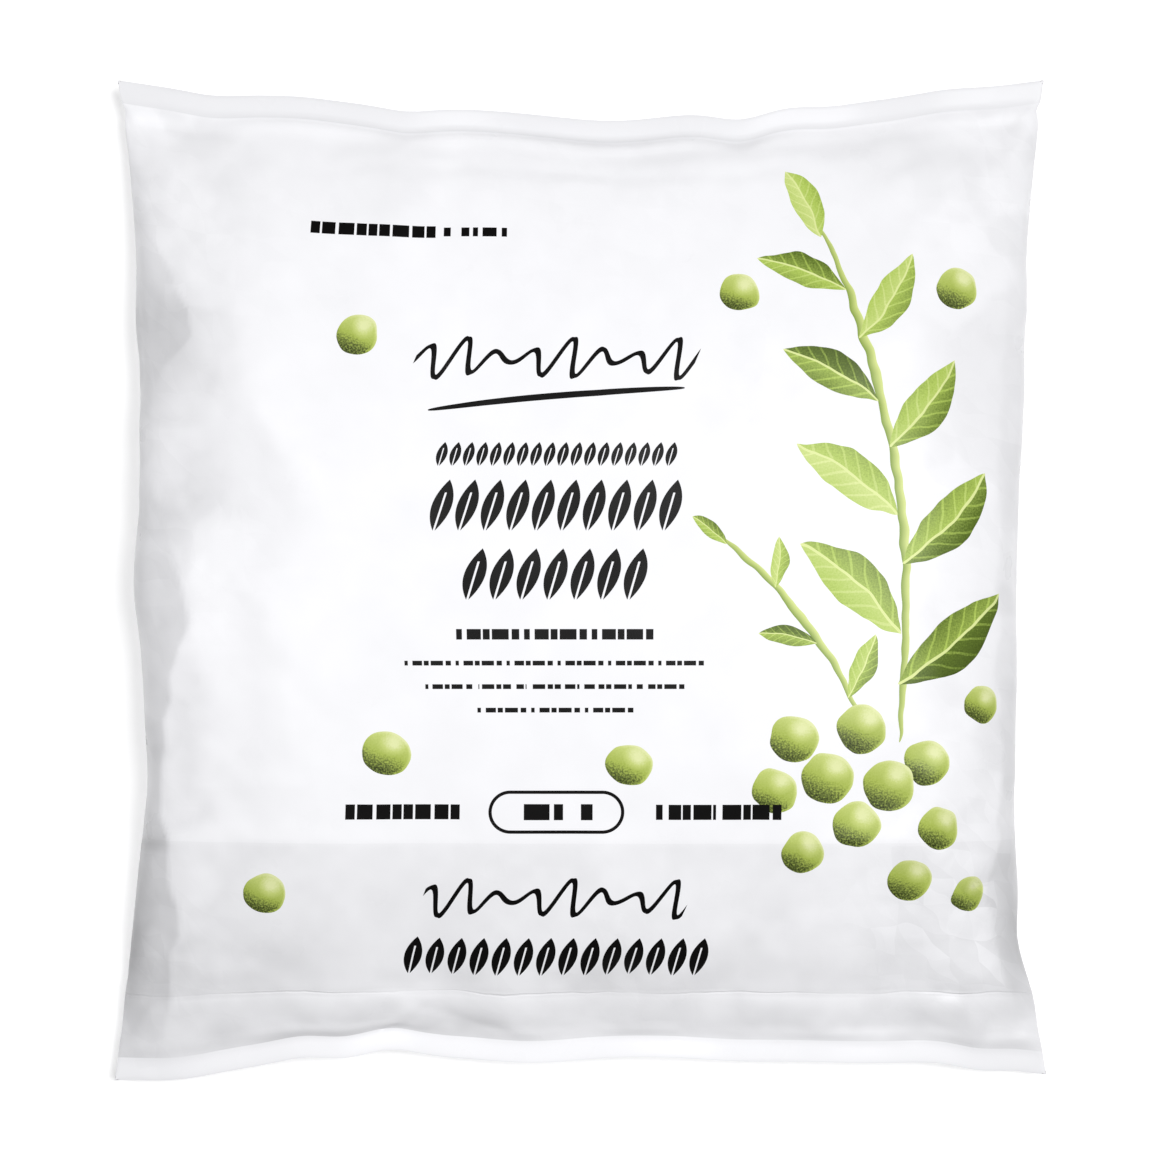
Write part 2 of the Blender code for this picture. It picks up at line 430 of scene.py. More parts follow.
def buckles(moved):
    """The moves without the even swelling of each sheet, and capped."""
    kept = moved.copy()
    for sheet in (BACK, FRONT):
        on = sheet_of == sheet
        field = np.zeros((len(rows), NET_COLUMNS + 1, 3))
        field[row_of[on], column_of[on]] = moved[on]
        field -= (1 - SWELL_KEPT) * blur(field, SWELL_BLUR)
        kept[on] = field[row_of[on], column_of[on]]
    kept[in_seal] = 0.0
    from_seal = SEAL_LINE - np.abs(rows[row_of])
    near_seal = np.exp(-((from_seal / SEAL_REACH) ** 2))
    kept *= (KEPT_ON_BELLY + (KEPT_BY_SEAL - KEPT_ON_BELLY) * near_seal)[:, None]
    length = np.maximum(np.linalg.norm(kept, axis=1), LEAST_MOVED)
    return kept * (np.minimum(length, MOST_MOVED) / length)[:, None]


kept = buckles(moved)
points = points + kept
points[:, 2] = np.maximum(points[:, 2], 0.0)
set_points(film.data, points)
print("buckles up to", round(float(np.linalg.norm(kept, axis=1).max()) / MM, 2), "mm")

# %% [markdown]
# ## A finer net that remembers its place
# Creases need faces of about a millimetre. One round of subdivision halves the net and rounds it at
# the same time, but for the corners of the seals, which are creased to stay sharp. The place on the
# flat sleeve, in millimetres, and the sheet travel along as point attributes. So the finer points can
# still be told where on the film they are, and the print stays put on it whatever the film does.

# %% Finer net
PLACE, SHEET = "sleeve_place", "sheet"


def remember(mesh, name, kind, values):
    attribute = mesh.attributes.new(name, kind, "POINT")
    field = "vector" if kind == "FLOAT_VECTOR" else "value"
    attribute.data.foreach_set(field, np.asarray(values, np.float32).ravel())


across = (column_of / NET_COLUMNS - 0.5) * FILM_WIDTH
remember(film.data, PLACE, "FLOAT_VECTOR", np.stack([across, rows[row_of], 0 * across], axis=1) / MM)
remember(film.data, SHEET, "FLOAT", sheet_of)
remember(film.data, "crease_vert", "FLOAT", on_side & (np.abs(rows[row_of]) > FILM_LENGTH / 2 - MERGE))
finer = film.modifiers.new("finer", "SUBSURF")
finer.levels = finer.render_levels = 1
apply_modifier(film, finer)
sleeve_x, sleeve_y, _ = read(film.data.attributes[PLACE].data, "vector", 3).T
on_front = read(film.data.attributes[SHEET].data, "value") > 0.5
face_corners = read(film.data.loops, "vertex_index", kind=np.int32).reshape(-1, 4)
print("film", len(film.data.polygons), "faces")

# %% [markdown]
# ## Relief of the film
# What the solver can't know is what happened to this bag: where the machine folded it, where it was
# dented and where it was crumpled. These are worked out as one height for each point and pushed along
# the surface normals. Places are millimetres from the middle of the bag, as seen from above.
#
# Crumpled film is not wavy but faceted: flat little plates that meet in straight edges. A net of
# triangles with a random height at each corner gives that, if the net is first warped a little so that
# its regular lines disappear. The peas under the film press round bumps of their own size.

# %% Noise helpers
TABLE_SIZE = 256
WARP_REACH, WARP_LENGTH = 0.45, 1.7
BALL_WANDER, BALL_STEEPNESS = 0.32, 1.6


def random_table(seed):
    return np.random.default_rng(seed).uniform(-1.0, 1.0, (TABLE_SIZE, TABLE_SIZE))


def look_up(table, i, j):
    return table[i.astype(int) % TABLE_SIZE, j.astype(int) % TABLE_SIZE]


def waves(x, y, size, seed):
    """Smooth noise between -1 and 1, with hills about one size across."""
    table = random_table(seed)
    i, j = np.floor(x / size), np.floor(y / size)
    s, t = x / size - i, y / size - j
    s, t = s * s * (3 - 2 * s), t * t * (3 - 2 * t)
    low = look_up(table, i, j) * (1 - s) + look_up(table, i + 1, j) * s
    high = look_up(table, i, j + 1) * (1 - s) + look_up(table, i + 1, j + 1) * s
    return low * (1 - t) + high * t


def facets(x, y, size, seed, turn=0.0):
    """Flat triangles between random heights, on a net that is warped and turned."""
    c, s = math.cos(turn), math.sin(turn)
    x, y = c * x - s * y, s * x + c * y
    x = x + WARP_REACH * size * waves(x, y, WARP_LENGTH * size, seed + 1)
    y = y + WARP_REACH * size * waves(x, y, WARP_LENGTH * size, seed + 2)
    table = random_table(seed)
    a, b = (x - y / math.sqrt(3)) / size, 2 * y / math.sqrt(3) / size
    i, j = np.floor(a), np.floor(b)
    s, t = a - i, b - j
    below = look_up(table, i, j) * (1 - s - t) + look_up(table, i + 1, j) * s + look_up(table, i, j + 1) * t
    above = (
        look_up(table, i + 1, j + 1) * (s + t - 1)
        + look_up(table, i + 1, j) * (1 - t)
        + look_up(table, i, j + 1) * (1 - s)
    )
    return np.where(s + t < 1, below, above)


def pressed_balls(x, y, size, seed):
    """Round bumps from 0 to 1 where balls about one size across lie close together."""
    side_x, side_y = random_table(seed), random_table(seed + 1)
    i, j = np.floor(x / size), np.floor(y / size)
    nearest = np.full(x.shape, np.inf)
    for di in (-1, 0, 1):
        for dj in (-1, 0, 1):
            centre_x = i + di + 0.5 + BALL_WANDER * look_up(side_x, i + di, j + dj)
            centre_y = j + dj + 0.5 + BALL_WANDER * look_up(side_y, i + di, j + dj)
            nearest = np.minimum(nearest, (x / size - centre_x) ** 2 + (y / size - centre_y) ** 2)
    return np.clip(1 - BALL_STEEPNESS * nearest, 0, 1)


def layered(noise, x, y, layers):
    """A sum of noises, with a layer for each (share, size, seed) or (share, size, seed, turn)."""
    return sum(share * noise(x, y, *layer) for share, *layer in layers)


print("noise table", TABLE_SIZE, "by", TABLE_SIZE)

# %% [markdown]
# ## Lines that the machine left
# The relief of the front is a sum, made up over the next cells. It starts with two folds from the bag
# machine, which are cusps along their rows: the belly fold stands out and the foot fold is pressed in,
# with a low step below it. A shallow groove runs below the top seal, where the film first lifts. What
# a noise needs is given as its size and seed, and its turn where it has one.

# %% Machine folds
BELLY_CUSP, BELLY_REACH = 0.24, 2.2
FOOT_CUSP, FOOT_REACH = -0.38, 1.0
FOOT_STEP, FOOT_STEP_REACH = 0.10, 3.0
TOP_GROOVE, GROOVE_DEPTH, GROOVE_REACH, GROOVE_SPAN = 92.0, 0.45, 2.2, 60
GROOVE_WANDER = 1.5
GROOVE_WAVES = (14, 51)


def cusp(distance, reach):
    return np.exp(-np.abs(distance) / reach)


def bell(distance, reach):
    return np.exp(-((distance / reach) ** 2))


def machine_folds(x, up):
    """Height of the folds at places x across the bag and up the sleeve."""
    from_foot = up - FOOT_FOLD / MM
    height = BELLY_CUSP * cusp(up - BELLY_FOLD / MM, BELLY_REACH)
    height += FOOT_CUSP * cusp(from_foot, FOOT_REACH)
    height += FOOT_STEP * bell(from_foot + FOOT_STEP_REACH, FOOT_STEP_REACH)
    groove = bell(up - TOP_GROOVE - GROOVE_WANDER * waves(x, 0 * x, *GROOVE_WAVES), GROOVE_REACH)
    return height - GROOVE_DEPTH * groove * bell(x, GROOVE_SPAN)


print("folds", round(BELLY_FOLD / MM), "and", round(FOOT_FOLD / MM, 1), "mm from the middle")

# %% [markdown]
# ## Where the front breaks into the walls
# The front turns into the steep side walls along a ragged line about a centimetre in from each side.
# That line is listed point by point, and a ridge follows it, steep towards the wall and gentle towards
# the front.

# %% Borders of the walls
# Each row: (up the bag, across, height of the ridge)
LEFT_BORDER = (
    (-100, -89, 0), (-89, -87.3, 0.9), (-79, -86.4, 1.1), (-75, -84.5, 1.3),
    (-62, -86.9, 1.3), (-40, -88.1, 1.2), (-29, -87.3, 1.2), (-16, -84.1, 1.1),
    (-7, -82.4, 0.9), (0, -83.2, 0.8), (8, -87, 0.3), (18, -89.8, 0.3),
    (40, -90.5, 0.3), (46, -86.5, 0.4), (52, -82, 0.7), (57, -82.2, 0.8),
    (62, -85.5, 0.7), (70, -90, 0.5), (78, -95, 0.1),
)
RIGHT_BORDER = (
    (-95, 94, 0), (-83, 90.5, 0.9), (-74, 87.4, 1.2), (-67, 85.2, 1.2),
    (-60, 86.8, 1.1), (-47, 89, 0.9), (-20, 87.5, 0.6), (20, 88, 0.4),
    (60, 90, 0.2),
)
WALL_REACH, BORDER_REACH = 2.8, 9.0
RAGGED = 0.9
RAGGED_WAVES = (5.0, 71)


def past_border(x, y, border):
    """How far a place lies past a ragged border, and how high the border is there."""
    up, across, heights = (np.array(values, float) for values in zip(*border))
    ragged = np.interp(y, up, across) + RAGGED * waves(0 * y, y, *RAGGED_WAVES)
    return np.sign(across[0]) * (x - ragged), np.interp(y, up, heights)


def border_ridge(x, y, border):
    past, height = past_border(x, y, border)
    return height * np.exp(-np.abs(past) / np.where(past > 0, WALL_REACH, BORDER_REACH))


print("borders with", len(LEFT_BORDER), "and", len(RIGHT_BORDER), "points")

# %% [markdown]
# ## Single creases
# A crease is a short straight cusp from one place to another that fades at both ends. Most of them lie
# at the lower right, where the bag was squeezed, and by the bottom seal.

# %% Creases
# Each row: (from x, y, to x, y, reach, height), in millimetres from the middle
CREASES = (
    (73, -61, 80, -54, 1.6, 0.55), (66, -64, 84, -79, 1.8, -0.50),
    (73, -62, 88, -74, 1.8, 0.50), (80, -66, 92, -62, 1.8, -0.45),
    (62, -74, 78, -77, 2, 0.35), (88, -60, 91, -50, 2, -0.40),
    (76, -80, 90, -87, 1.8, 0.50), (60, -69, 70, -67, 2, -0.30),
    (84, -40, 92, -50, 1.8, -0.35), (-94, -90, -84, -78, 3, -0.30),
    (-54, -103, -31, -88, 2, 0.75), (-36, -90, -12, -98, 2, -0.55),
    (-2, -87, 6, -78, 4, 0.45), (6, -79, 14, -88, 3, -0.45),
    (18, 98, 23, 92, 1.5, 0.35), (-90, 92, -82, 84, 3, -0.35),
    (84, 88, 92, 78, 3, -0.30), (-97, -55.8, -87, -55, 1.4, -0.70),
    (-92, 70, -82, 58, 4, -0.60),
)
CREASE_ENDS, CREASE_CUT = 0.7, 3


def crease(x, y, from_x, from_y, to_x, to_y, reach, height):
    run_x, run_y = to_x - from_x, to_y - from_y
    length = math.hypot(run_x, run_y)
    along = ((x - from_x) * run_x + (y - from_y) * run_y) / length
    beside = ((y - from_y) * run_x - (x - from_x) * run_y) / length
    fade = np.sin(np.pi * np.clip(along / length, 0, 1)) ** CREASE_ENDS
    return height * fade * cusp(beside, reach) * (np.abs(beside) < CREASE_CUT * reach)


print(len(CREASES), "creases")

# %% [markdown]
# ## Crumple, peas and slack
# The crumple is strongest by the lower right side, weaker along both sides and at the corners, and
# nearly gone on the full belly, which the peas keep taut. Larger plates lie along the sides alone. The
# peas show as low bumps, mostly off the belly, and the slack film sways slowly over all of it.

# %% Crumple and peas
# Each row: (x, y, reach, strength)
CRUMPLED = (
    (80, -70, 17, 0.44), (90, -30, 16, 0.10), (90, 20, 22, 0.10), (-90, -80, 22, 0.12),
    (-88, 10, 22, 0.10), (-88, 66, 24, 0.10), (86, 84, 22, 0.08), (0, -94, 34, 0.07),
    (0, 98, 40, 0.05),
)
CRUMPLE_EVERYWHERE, MOST_CRUMPLED = 0.01, 0.45
CRUMPLED_SIDES, BY_SIDES = 0.06, (74, 92)
CRUMPLE_LAYERS = ((1.0, 7.5, 11, 0.5), (0.5, 3.6, 21, 1.3))
PLATES = (11.0, 81, 0.9)
PLATE_HEIGHT, PLATE_REACH = 0.62, 24.0
TAUT_HALF_WIDTH, TAUT_HALF_LENGTH, TAUT_MIDDLE = 72, 66, -2
PRESSED_PEAS, SWAY_WAVES = (8.6, 31), (26, 41)
PEA_BUMP, TAUT_PEA_BUMP = 0.14, 0.02
SWAY, TAUT_SWAY = 0.3, 0.08


def step(value, low, high):
    """0 below low, 1 above high and smooth between them."""
    share = np.clip((value - low) / (high - low), 0, 1)
    return share * share * (3 - 2 * share)


def crumple(x, y):
    """How strongly the film is crumpled at a place."""
    strength = CRUMPLE_EVERYWHERE + CRUMPLED_SIDES * step(np.abs(x), *BY_SIDES)
    for at_x, at_y, reach, most in CRUMPLED:
        strength += most * bell(np.hypot(x - at_x, y - at_y), reach)
    return strength


def pea_bumps_and_sway(x, y):
    taut = np.exp(-((x / TAUT_HALF_WIDTH) ** 4) - ((y - TAUT_MIDDLE) / TAUT_HALF_LENGTH) ** 4)
    bumps = (PEA_BUMP + (TAUT_PEA_BUMP - PEA_BUMP) * taut) * pressed_balls(x, y, *PRESSED_PEAS)
    return bumps + (SWAY + (TAUT_SWAY - SWAY) * taut) * waves(x, y, *SWAY_WAVES)


def front_relief(x, y, up):
    """Height of the front's relief at places x, y seen from above, where up is the place on the sleeve."""
    height = machine_folds(x, up) + border_ridge(x, y, LEFT_BORDER) + border_ridge(x, y, RIGHT_BORDER)
    for values in CREASES:
        height += crease(x, y, *values)
    height += crumple(x, y) * layered(facets, x, y, CRUMPLE_LAYERS)
    by_side = bell(FILM_WIDTH / 2 / MM - np.abs(x), PLATE_REACH)
    height += PLATE_HEIGHT * by_side * facets(x, y, *PLATES)
    return height + pea_bumps_and_sway(x, y)


print("crumpled spots", len(CRUMPLED))

# %% [markdown]
# ## Painted shade on the film
# White film is never quite one white, and here the lamps' shade is painted into it as well. It is
# greyer on the walls, which turn away from the lamps, with soft grey blotches of painted shade there,
# and a little darker towards the foot, which tilts away. Single spots of painted shade are listed one
# by one, and a few with a negative share paint light. A fine random mottle lies over all of it. All
# this is one number for each point, and the shader multiplies it in.

# %% Painted shade on the film
# Each row: (x, y, half width, half height, share of painted shade; a negative share paints light)
SHADED = (
    (-24, -94.8, 12, 2.8, 0.12), (35, -95.5, 19, 3, 0.05), (5, -83.5, 7, 4, 0.09),
    (-72, -92, 34, 16, 0.05), (0, -99.5, 120, 3, 0.05), (-37, 84, 6, 9, 0.05),
    (0, 89, 40, 2.5, 0.04), (0, 98, 120, 3.5, -0.09), (-80, 90, 24, 8, 0.05),
    (80, 90, 26, 7.5, 0.05), (-59, -98.6, 12, 2.4, 0.12), (-89, 59, 7, 8, 0.14),
    (-87, 47, 8, 8, 0.10), (-84, 16, 14, 4.5, 0.06), (-93, -72, 7, 20, 0.12),
    (94, -75, 5, 14, 0.29), (90, -60, 5, 5, 0.10), (90, -28, 13, 26, 0.055),
    (90, 30, 11, 30, 0.03), (93, -20, 5, 40, 0.04), (88, -95, 16, 6, 0.06),
    (-48, -97.4, 20, 1.8, 0.08), (-79, -92, 12, 9, 0.04), (10, -88, 12, 3, 0.04),
    (-97, -78, 4, 26, 0.18), (-95, 5, 3, 50, 0.12), (-94, -38, 4, 13, 0.10),
    (-92, -56, 6, 1.5, 0.16), (-65, -72, 42, 13, 0.035), (66, 62, 34, 34, 0.035),
    (-86, 14, 6, 14, 0.05), (-89.5, -44, 3, 14, 0.06), (-95, -60, 5, 14, 0.05),
    (15, -90, 70, 5, 0.022), (85, 50, 7, 18, 0.025),
)
WALL_SHADE, BLOTCH_SHADE, MOTTLE_SHADE, FOOT_SHADE = 0.10, 0.055, 0.03, 0.035
BELLY_MOTTLE = 0.35
BLOTCH_LAYERS = ((1.0, 13, 91, 0.7), (0.45, 5, 94, 0.2))
MOTTLE_LAYERS = ((1.0, 7, 97), (0.6, 2.8, 98))
# From where each starts to where it is full
WALL, BLOTCH = (-0.5, 0.7), (-0.1, 0.35)
BLOTCHED_SIDES, MOTTLED_FOOT, MOTTLED_LEFT, FOOT = (62, 84), (54, 56), (66, 86), (66, 86)


def film_shade(x, y):
    """The share of the film's white left after the painted shade; above 1 where light is painted."""
    lost = np.zeros(x.shape)
    # Painted shade on the walls, which turn away from the lamps.
    for border in (LEFT_BORDER, RIGHT_BORDER):
        past, height = past_border(x, y, border)
        lost += WALL_SHADE * np.minimum(height, 1.0) * step(past, *WALL)
    # Grey blotches of painted shade along both sides.
    blotches = step(layered(facets, x, y, BLOTCH_LAYERS), *BLOTCH)
    lost += BLOTCH_SHADE * blotches * step(np.abs(x), *BLOTCHED_SIDES)
    off_belly = np.maximum(step(-y, *MOTTLED_FOOT), step(-x, *MOTTLED_LEFT))
    mottled = BELLY_MOTTLE + (1 - BELLY_MOTTLE) * off_belly
    lost += MOTTLE_SHADE * mottled * layered(waves, x, y, MOTTLE_LAYERS)
    # Painted shade towards the foot, which tilts away from the lamps.
    lost += FOOT_SHADE * step(-y, *FOOT)
    # Listed spots of painted shade, and of painted light where the share is negative.
    for at_x, at_y, half_x, half_y, share in SHADED:
        lost += share * bell(x - at_x, half_x) * bell(y - at_y, half_y)
    return 1 - lost


print(len(SHADED), "spots of tone")

# %% [markdown]
# ## Pushing the film into shape
# The back is pressed flat on whatever carries the bag, so its relief only goes inwards: low plates, a
# slow sway and the two lines of the lap seam. Both reliefs fade out at the seals and at the side rims,
# where the two sheets meet. How crumpled the film is and its painted shade are kept on the points, for
# the shader. The back takes the walls' painted shade all over.

# %% Shape the film
SEAM_SIDE, SEAM_REACH, SEAM_DEPTH = 7.0, 0.7, 0.3
BACK_PLATE, BACK_SWAY = 0.22, 0.08
BACK_PLATES, BACK_WAVES = (9.0, 61, 0.8), (30, 66)
SEAL_FADE, SIDE_FADE = 3.0, 2.4


def back_relief(x, y):
    plates = BACK_PLATE * (facets(x, y, *BACK_PLATES) - 1)
    sways = BACK_SWAY * (waves(x, y, *BACK_WAVES) - 1)
    return plates + sways - SEAM_DEPTH * cusp(np.abs(x) - SEAM_SIDE, SEAM_REACH)


def shape_film(mesh):
    base = points_of(mesh)
    x, y = base[:, 0] / MM, base[:, 1] / MM
    from_seal = SEAL_LINE / MM - np.abs(sleeve_y)
    from_side = FILM_WIDTH / 2 / MM - np.abs(sleeve_x)
    fade = np.clip(np.minimum(from_seal / SEAL_FADE, from_side / SIDE_FADE), 0, 1)
    height = np.where(on_front, front_relief(x, y, sleeve_y), back_relief(x, y)) * fade
    shaped = base + read(mesh.vertex_normals, "vector", 3) * height[:, None] * MM
    shaped[:, 2] = np.maximum(shaped[:, 2], 0.0)
    set_points(mesh, shaped)
    remember(mesh, "crumple", "FLOAT", crumple(x, y) / MOST_CRUMPLED)
    # Painted shade: the front's from film_shade, and the walls' share of it all over the back.
    remember(mesh, "shade", "FLOAT", np.where(on_front, film_shade(x, y), 1 - WALL_SHADE))
    return height


relief = shape_film(film.data)
print("relief from", round(float(relief.min()), 2), "to", round(float(relief.max()), 2), "mm")

# %% [markdown]
# ## The print's own map
# The print has to sit on the film, not in space, so it is placed by a UV map. The map is the flat
# sleeve itself: the front takes the left half of the square and the back the right half. A shader
# turns it back into millimetres from the middle of the front, so that every shape of the print can be
# given at its real size. Places past 105 mm belong to the back.

# %% Sleeve map
MAP_MARGIN_X, MAP_MARGIN_Y = 105.0, 115.0
MOSTLY_BACK = 0.4


def map_sleeve(mesh):
    """Writes the flat sleeve as a UV map. Faces with more corners on the back go to the right half."""
    while mesh.uv_layers:
        mesh.uv_layers.remove(mesh.uv_layers[0])
    is_back = on_front[face_corners].mean(axis=1) < MOSTLY_BACK
    u = (sleeve_x[face_corners] + MAP_MARGIN_X) / (4 * MAP_MARGIN_X) + 0.5 * is_back[:, None]
    v = (sleeve_y[face_corners] + MAP_MARGIN_Y) / (2 * MAP_MARGIN_Y)
    layer = mesh.uv_layers.new(name="sleeve")
    layer.data.foreach_set("uv", np.stack([u, v], axis=2).astype(np.float32).ravel())
    return is_back


print("faces on the back", np.count_nonzero(map_sleeve(film.data)), "of", len(face_corners))

# %% [markdown]
# ## Small helpers for shader nodes
# A node tree is easier to read as a sum than as a list of links. So an output of a node is wrapped as a
# value, and a sign between two values adds the Math node that works it out, or the Vector Math node
# where a value is a place.

# %% Node values
NODES_IN_ROW, NODE_WIDTH, NODE_HEIGHT = 12, 190, 260


class Value:
    """One output in a node tree. A sign between values adds the node that works it out."""

    def __init__(self, socket):
        self.socket = socket
        self.tree = socket.id_data
        self.is_place = socket.type in ("VECTOR", "RGBA")

    def __add__(self, other):
        return maths("ADD", self, other)

    def __sub__(self, other):
        return maths("SUBTRACT", self, other)

    def __rsub__(self, other):
        return maths("SUBTRACT", other, self)

    def __mul__(self, other):
        return maths("MULTIPLY", self, other)

    def __truediv__(self, other):
        return maths("DIVIDE", self, other)

    def __abs__(self):
        return maths("ABSOLUTE", self)

    def __lt__(self, other):
        return maths("LESS_THAN", self, other)

    def __gt__(self, other):
        return maths("GREATER_THAN", self, other)


def tree_of(values):
    return next(value.tree for value in values if isinstance(value, Value))


def join(value, socket):
    """Links a value to a socket, or sets the socket to a plain number, place or colour."""
    if isinstance(value, Value):
        value.tree.links.new(value.socket, socket)
    else:
        socket.default_value = value


def new_node(tree, kind, inputs=None, **settings):
    """Adds a node, with inputs by name or number, and returns it."""
    node = tree.nodes.new(kind)
    row, column = divmod(len(tree.nodes), NODES_IN_ROW)
    node.location = (column * NODE_WIDTH, -row * NODE_HEIGHT)
    for name, value in settings.items():
        setattr(node, name, value)
    for name, value in (inputs or {}).items():
        join(value, node.inputs[name])
    return node


def add(tree, kind, inputs=None, output=0, **settings):
    """Adds a node and returns one of its outputs, by name or number."""
    return Value(new_node(tree, kind, inputs, **settings).outputs[output])


def maths(operation, *values):
    """Adds a Math node, or a Vector Math node where a value is a place."""
    places = [value for value in values if isinstance(value, tuple) or getattr(value, "is_place", False)]
    kind = "ShaderNodeVectorMath" if places else "ShaderNodeMath"
    output = "Value" if operation in ("LENGTH", "DOT_PRODUCT") else 0
    return add(tree_of(values), kind, dict(enumerate(values)), output, operation=operation)


print("nodes in a row of the editor", NODES_IN_ROW)

# %% [markdown]
# The nodes that are used most get a short call each. A Mix node has a set of sockets for each kind of
# data under the same names, so those are picked by number.

# %% Node calls
MIX_SOCKETS = {"RGBA": (6, 7, 2), "VECTOR": (4, 5, 1), "FLOAT": (2, 3, 0)}


def mix(share, first, second, kind="RGBA", **settings):
    """Mixes two colours, or two places or numbers where the kind is VECTOR or FLOAT."""
    at_first, at_second, output = MIX_SOCKETS[kind]
    inputs = {0: share, at_first: first, at_second: second}
    return add(tree_of(inputs.values()), "ShaderNodeMix", inputs, output, data_type=kind, **settings)


def split(place):
    """The x, y and z of a place."""
    return [Value(part) for part in new_node(place.tree, "ShaderNodeSeparateXYZ", {0: place}).outputs]


def combine(x, y):
    return add(x.tree, "ShaderNodeCombineXYZ", {0: x, 1: y})


def noise_at(place, scale, detail, output=0, roughness=0.5):
    """Smooth noise from 0 to 1, or three of them as a colour."""
    inputs = {"Vector": place, "Scale": scale, "Detail": detail, "Roughness": roughness}
    return add(place.tree, "ShaderNodeTexNoise", inputs, output)


def laid_in(place, centre, turn, size):
    """A place as seen from a shape: moved to its centre, turned with it and measured in its size."""
    inputs = {"Vector": place, "Location": centre, "Rotation": turn, "Scale": size}
    return add(place.tree, "ShaderNodeMapping", inputs, vector_type="TEXTURE")


print("kinds of mix", list(MIX_SOCKETS))

# %% [markdown]
# A node group is written as a function of its inputs. The function runs once to fill the group, and
# each later call places the group in the tree that its values come from.

# %% Node groups
def node_group(**outputs):
    """Fills a node group by a function of its inputs, and returns a function that places the group."""
    def fill(recipe):
        group = bpy.data.node_groups.new(recipe.__name__, "ShaderNodeTree")
        inputs = {name: recipe.__annotations__.get(name, "Float") for name in signature(recipe).parameters}
        for direction, sockets in (("INPUT", inputs), ("OUTPUT", outputs)):
            for name, kind in sockets.items():
                group.interface.new_socket(name, in_out=direction, socket_type="NodeSocket" + kind)
        given = new_node(group, "NodeGroupInput").outputs
        results = recipe(*[Value(given[name]) for name in inputs])
        wanted = new_node(group, "NodeGroupOutput").inputs
        for result, name in zip(results if len(outputs) > 1 else [results], outputs):
            join(result, wanted[name])

        def placed(*values):
            node = new_node(tree_of(values), "ShaderNodeGroup", dict(enumerate(values)), node_tree=group)
            results = [Value(node.outputs[name]) for name in outputs]
            return results if len(results) > 1 else results[0]

        return placed

    return fill


print("node groups before the first one of the film", len(bpy.data.node_groups))

# %% [markdown]
# Places of the print are millimetres on the sleeve, and its colours are written as a paint chart gives
# them. A shader counts in amounts of light instead, so each colour is worked out from its chart value.

# %% Places and inks
def at(x, y):
    """A place on the sleeve, in millimetres."""
    return (float(x), float(y), 0.0)


def ink(red, green, blue):
    """A paint chart's colour, from 0 to 255, as amounts of light. The numbers are the sRGB curve's."""
    values = [c / 255 for c in (red, green, blue)]
    linear = [c / 12.92 if c <= 0.04045 else ((c + 0.055) / 1.055) ** 2.4 for c in values]
    return (*linear, 1.0)


def ink_ramp(value, stops):
    """A colour ramp through (place, colour) stops."""
    node = new_node(value.tree, "ShaderNodeValToRGB", {0: value})
    elements = node.color_ramp.elements
    while len(elements) < len(stops):
        elements.new(0.5)
    for element, (place, colour) in zip(elements, stops):
        element.position = place
        element.color = ink(*colour)
    return Value(node.outputs[0])


print("half of full brightness on a paint chart is", round(ink(128, 128, 128)[0], 2), "in the shader")

# %% [markdown]
# ## The finish of the film
# Where the film is crumpled, its finest plates are too small for the mesh. So the net of tilted plates
# that shaped the relief is made once more for the shader.

# %% Plates for the shader
@node_group(height="Float", plate="Float")
def facet_net(place: "Vector"):
    """The net of tilted plates again, for a shader, and a number of its own for each plate."""
    across = maths("DOT_PRODUCT", place, (1.0, -1 / math.sqrt(3), 0.0))
    up = maths("DOT_PRODUCT", place, (0.0, 2 / math.sqrt(3), 0.0))
    net = combine(across, up)
    cell = maths("FLOOR", net)
    s, t, _ = split(maths("FRACTION", net))

    def random(*offset):
        return add(place.tree, "ShaderNodeTexWhiteNoise", {"Vector": cell + offset})

    def either(lower_value, upper_value):
        return mix(upper, lower_value, upper_value, "FLOAT")

    beyond = s + t - 1.0
    upper = beyond > 0.0
    tip = either(random(0.0, 0.0, 0.0), random(1.0, 1.0, 0.0)) * abs(beyond)
    right = random(1.0, 0.0, 0.0) * either(s, 1.0 - t)
    left = random(0.0, 1.0, 0.0) * either(t, 1.0 - s)
    return tip + right + left, either(random(0.0, 0.0, 1.0), random(0.0, 0.0, 2.0))


print("plates", len(bpy.data.node_groups["facet_net"].nodes), "nodes")

# %% [markdown]
# The film is white polyethylene about 0.06 mm thick: satin, a little cool in tone, never quite even.
# The same finish lies under every ink, so it is one node group. It gives three things. The tone
# carries painted shade: the painted shade kept on the points, a little more below the belly fold, where
# the front tilts away from the lamps, and a random share on each crumpled plate. It has its own level on
# each seal, and on the bottom seal it falls towards the corners. The roughness drifts between satin and
# matt. The height holds what is too small for the mesh: the finest plates where the film is crumpled,
# and the thin pressed lines of the foot fold and of the inner rims of the seals.

# %% Film finish
THIN_WHITE = 0.038
CLOUDING, WARP = 0.06, (5.0, 5.0, 0.0)
CLOUD_NOISE, WARP_NOISE = (0.07, 4.0), (0.12, 1.0)
TOP_SEAL_TONE, BOTTOM_SEAL_TONE, BOTTOM_CORNER_TONE = 0.87, 0.99, 0.87
SATIN, MATT = 0.2, 0.4
FACET_SIZE = 4.2
PLATE_TONE, PLATE_SLANT, LONG_PLATE = 0.13, -0.75, (9.5, 4.2, 1.0)
FOLD_LINE, FOLD_WANDER, SEAL_LINE_DEPTH = 0.35, 2.4, -0.04
FOLD_DEPTH, FOLD_DEPTH_SWING, FOLD_SWING_PACE = -0.14, 0.08, 0.13


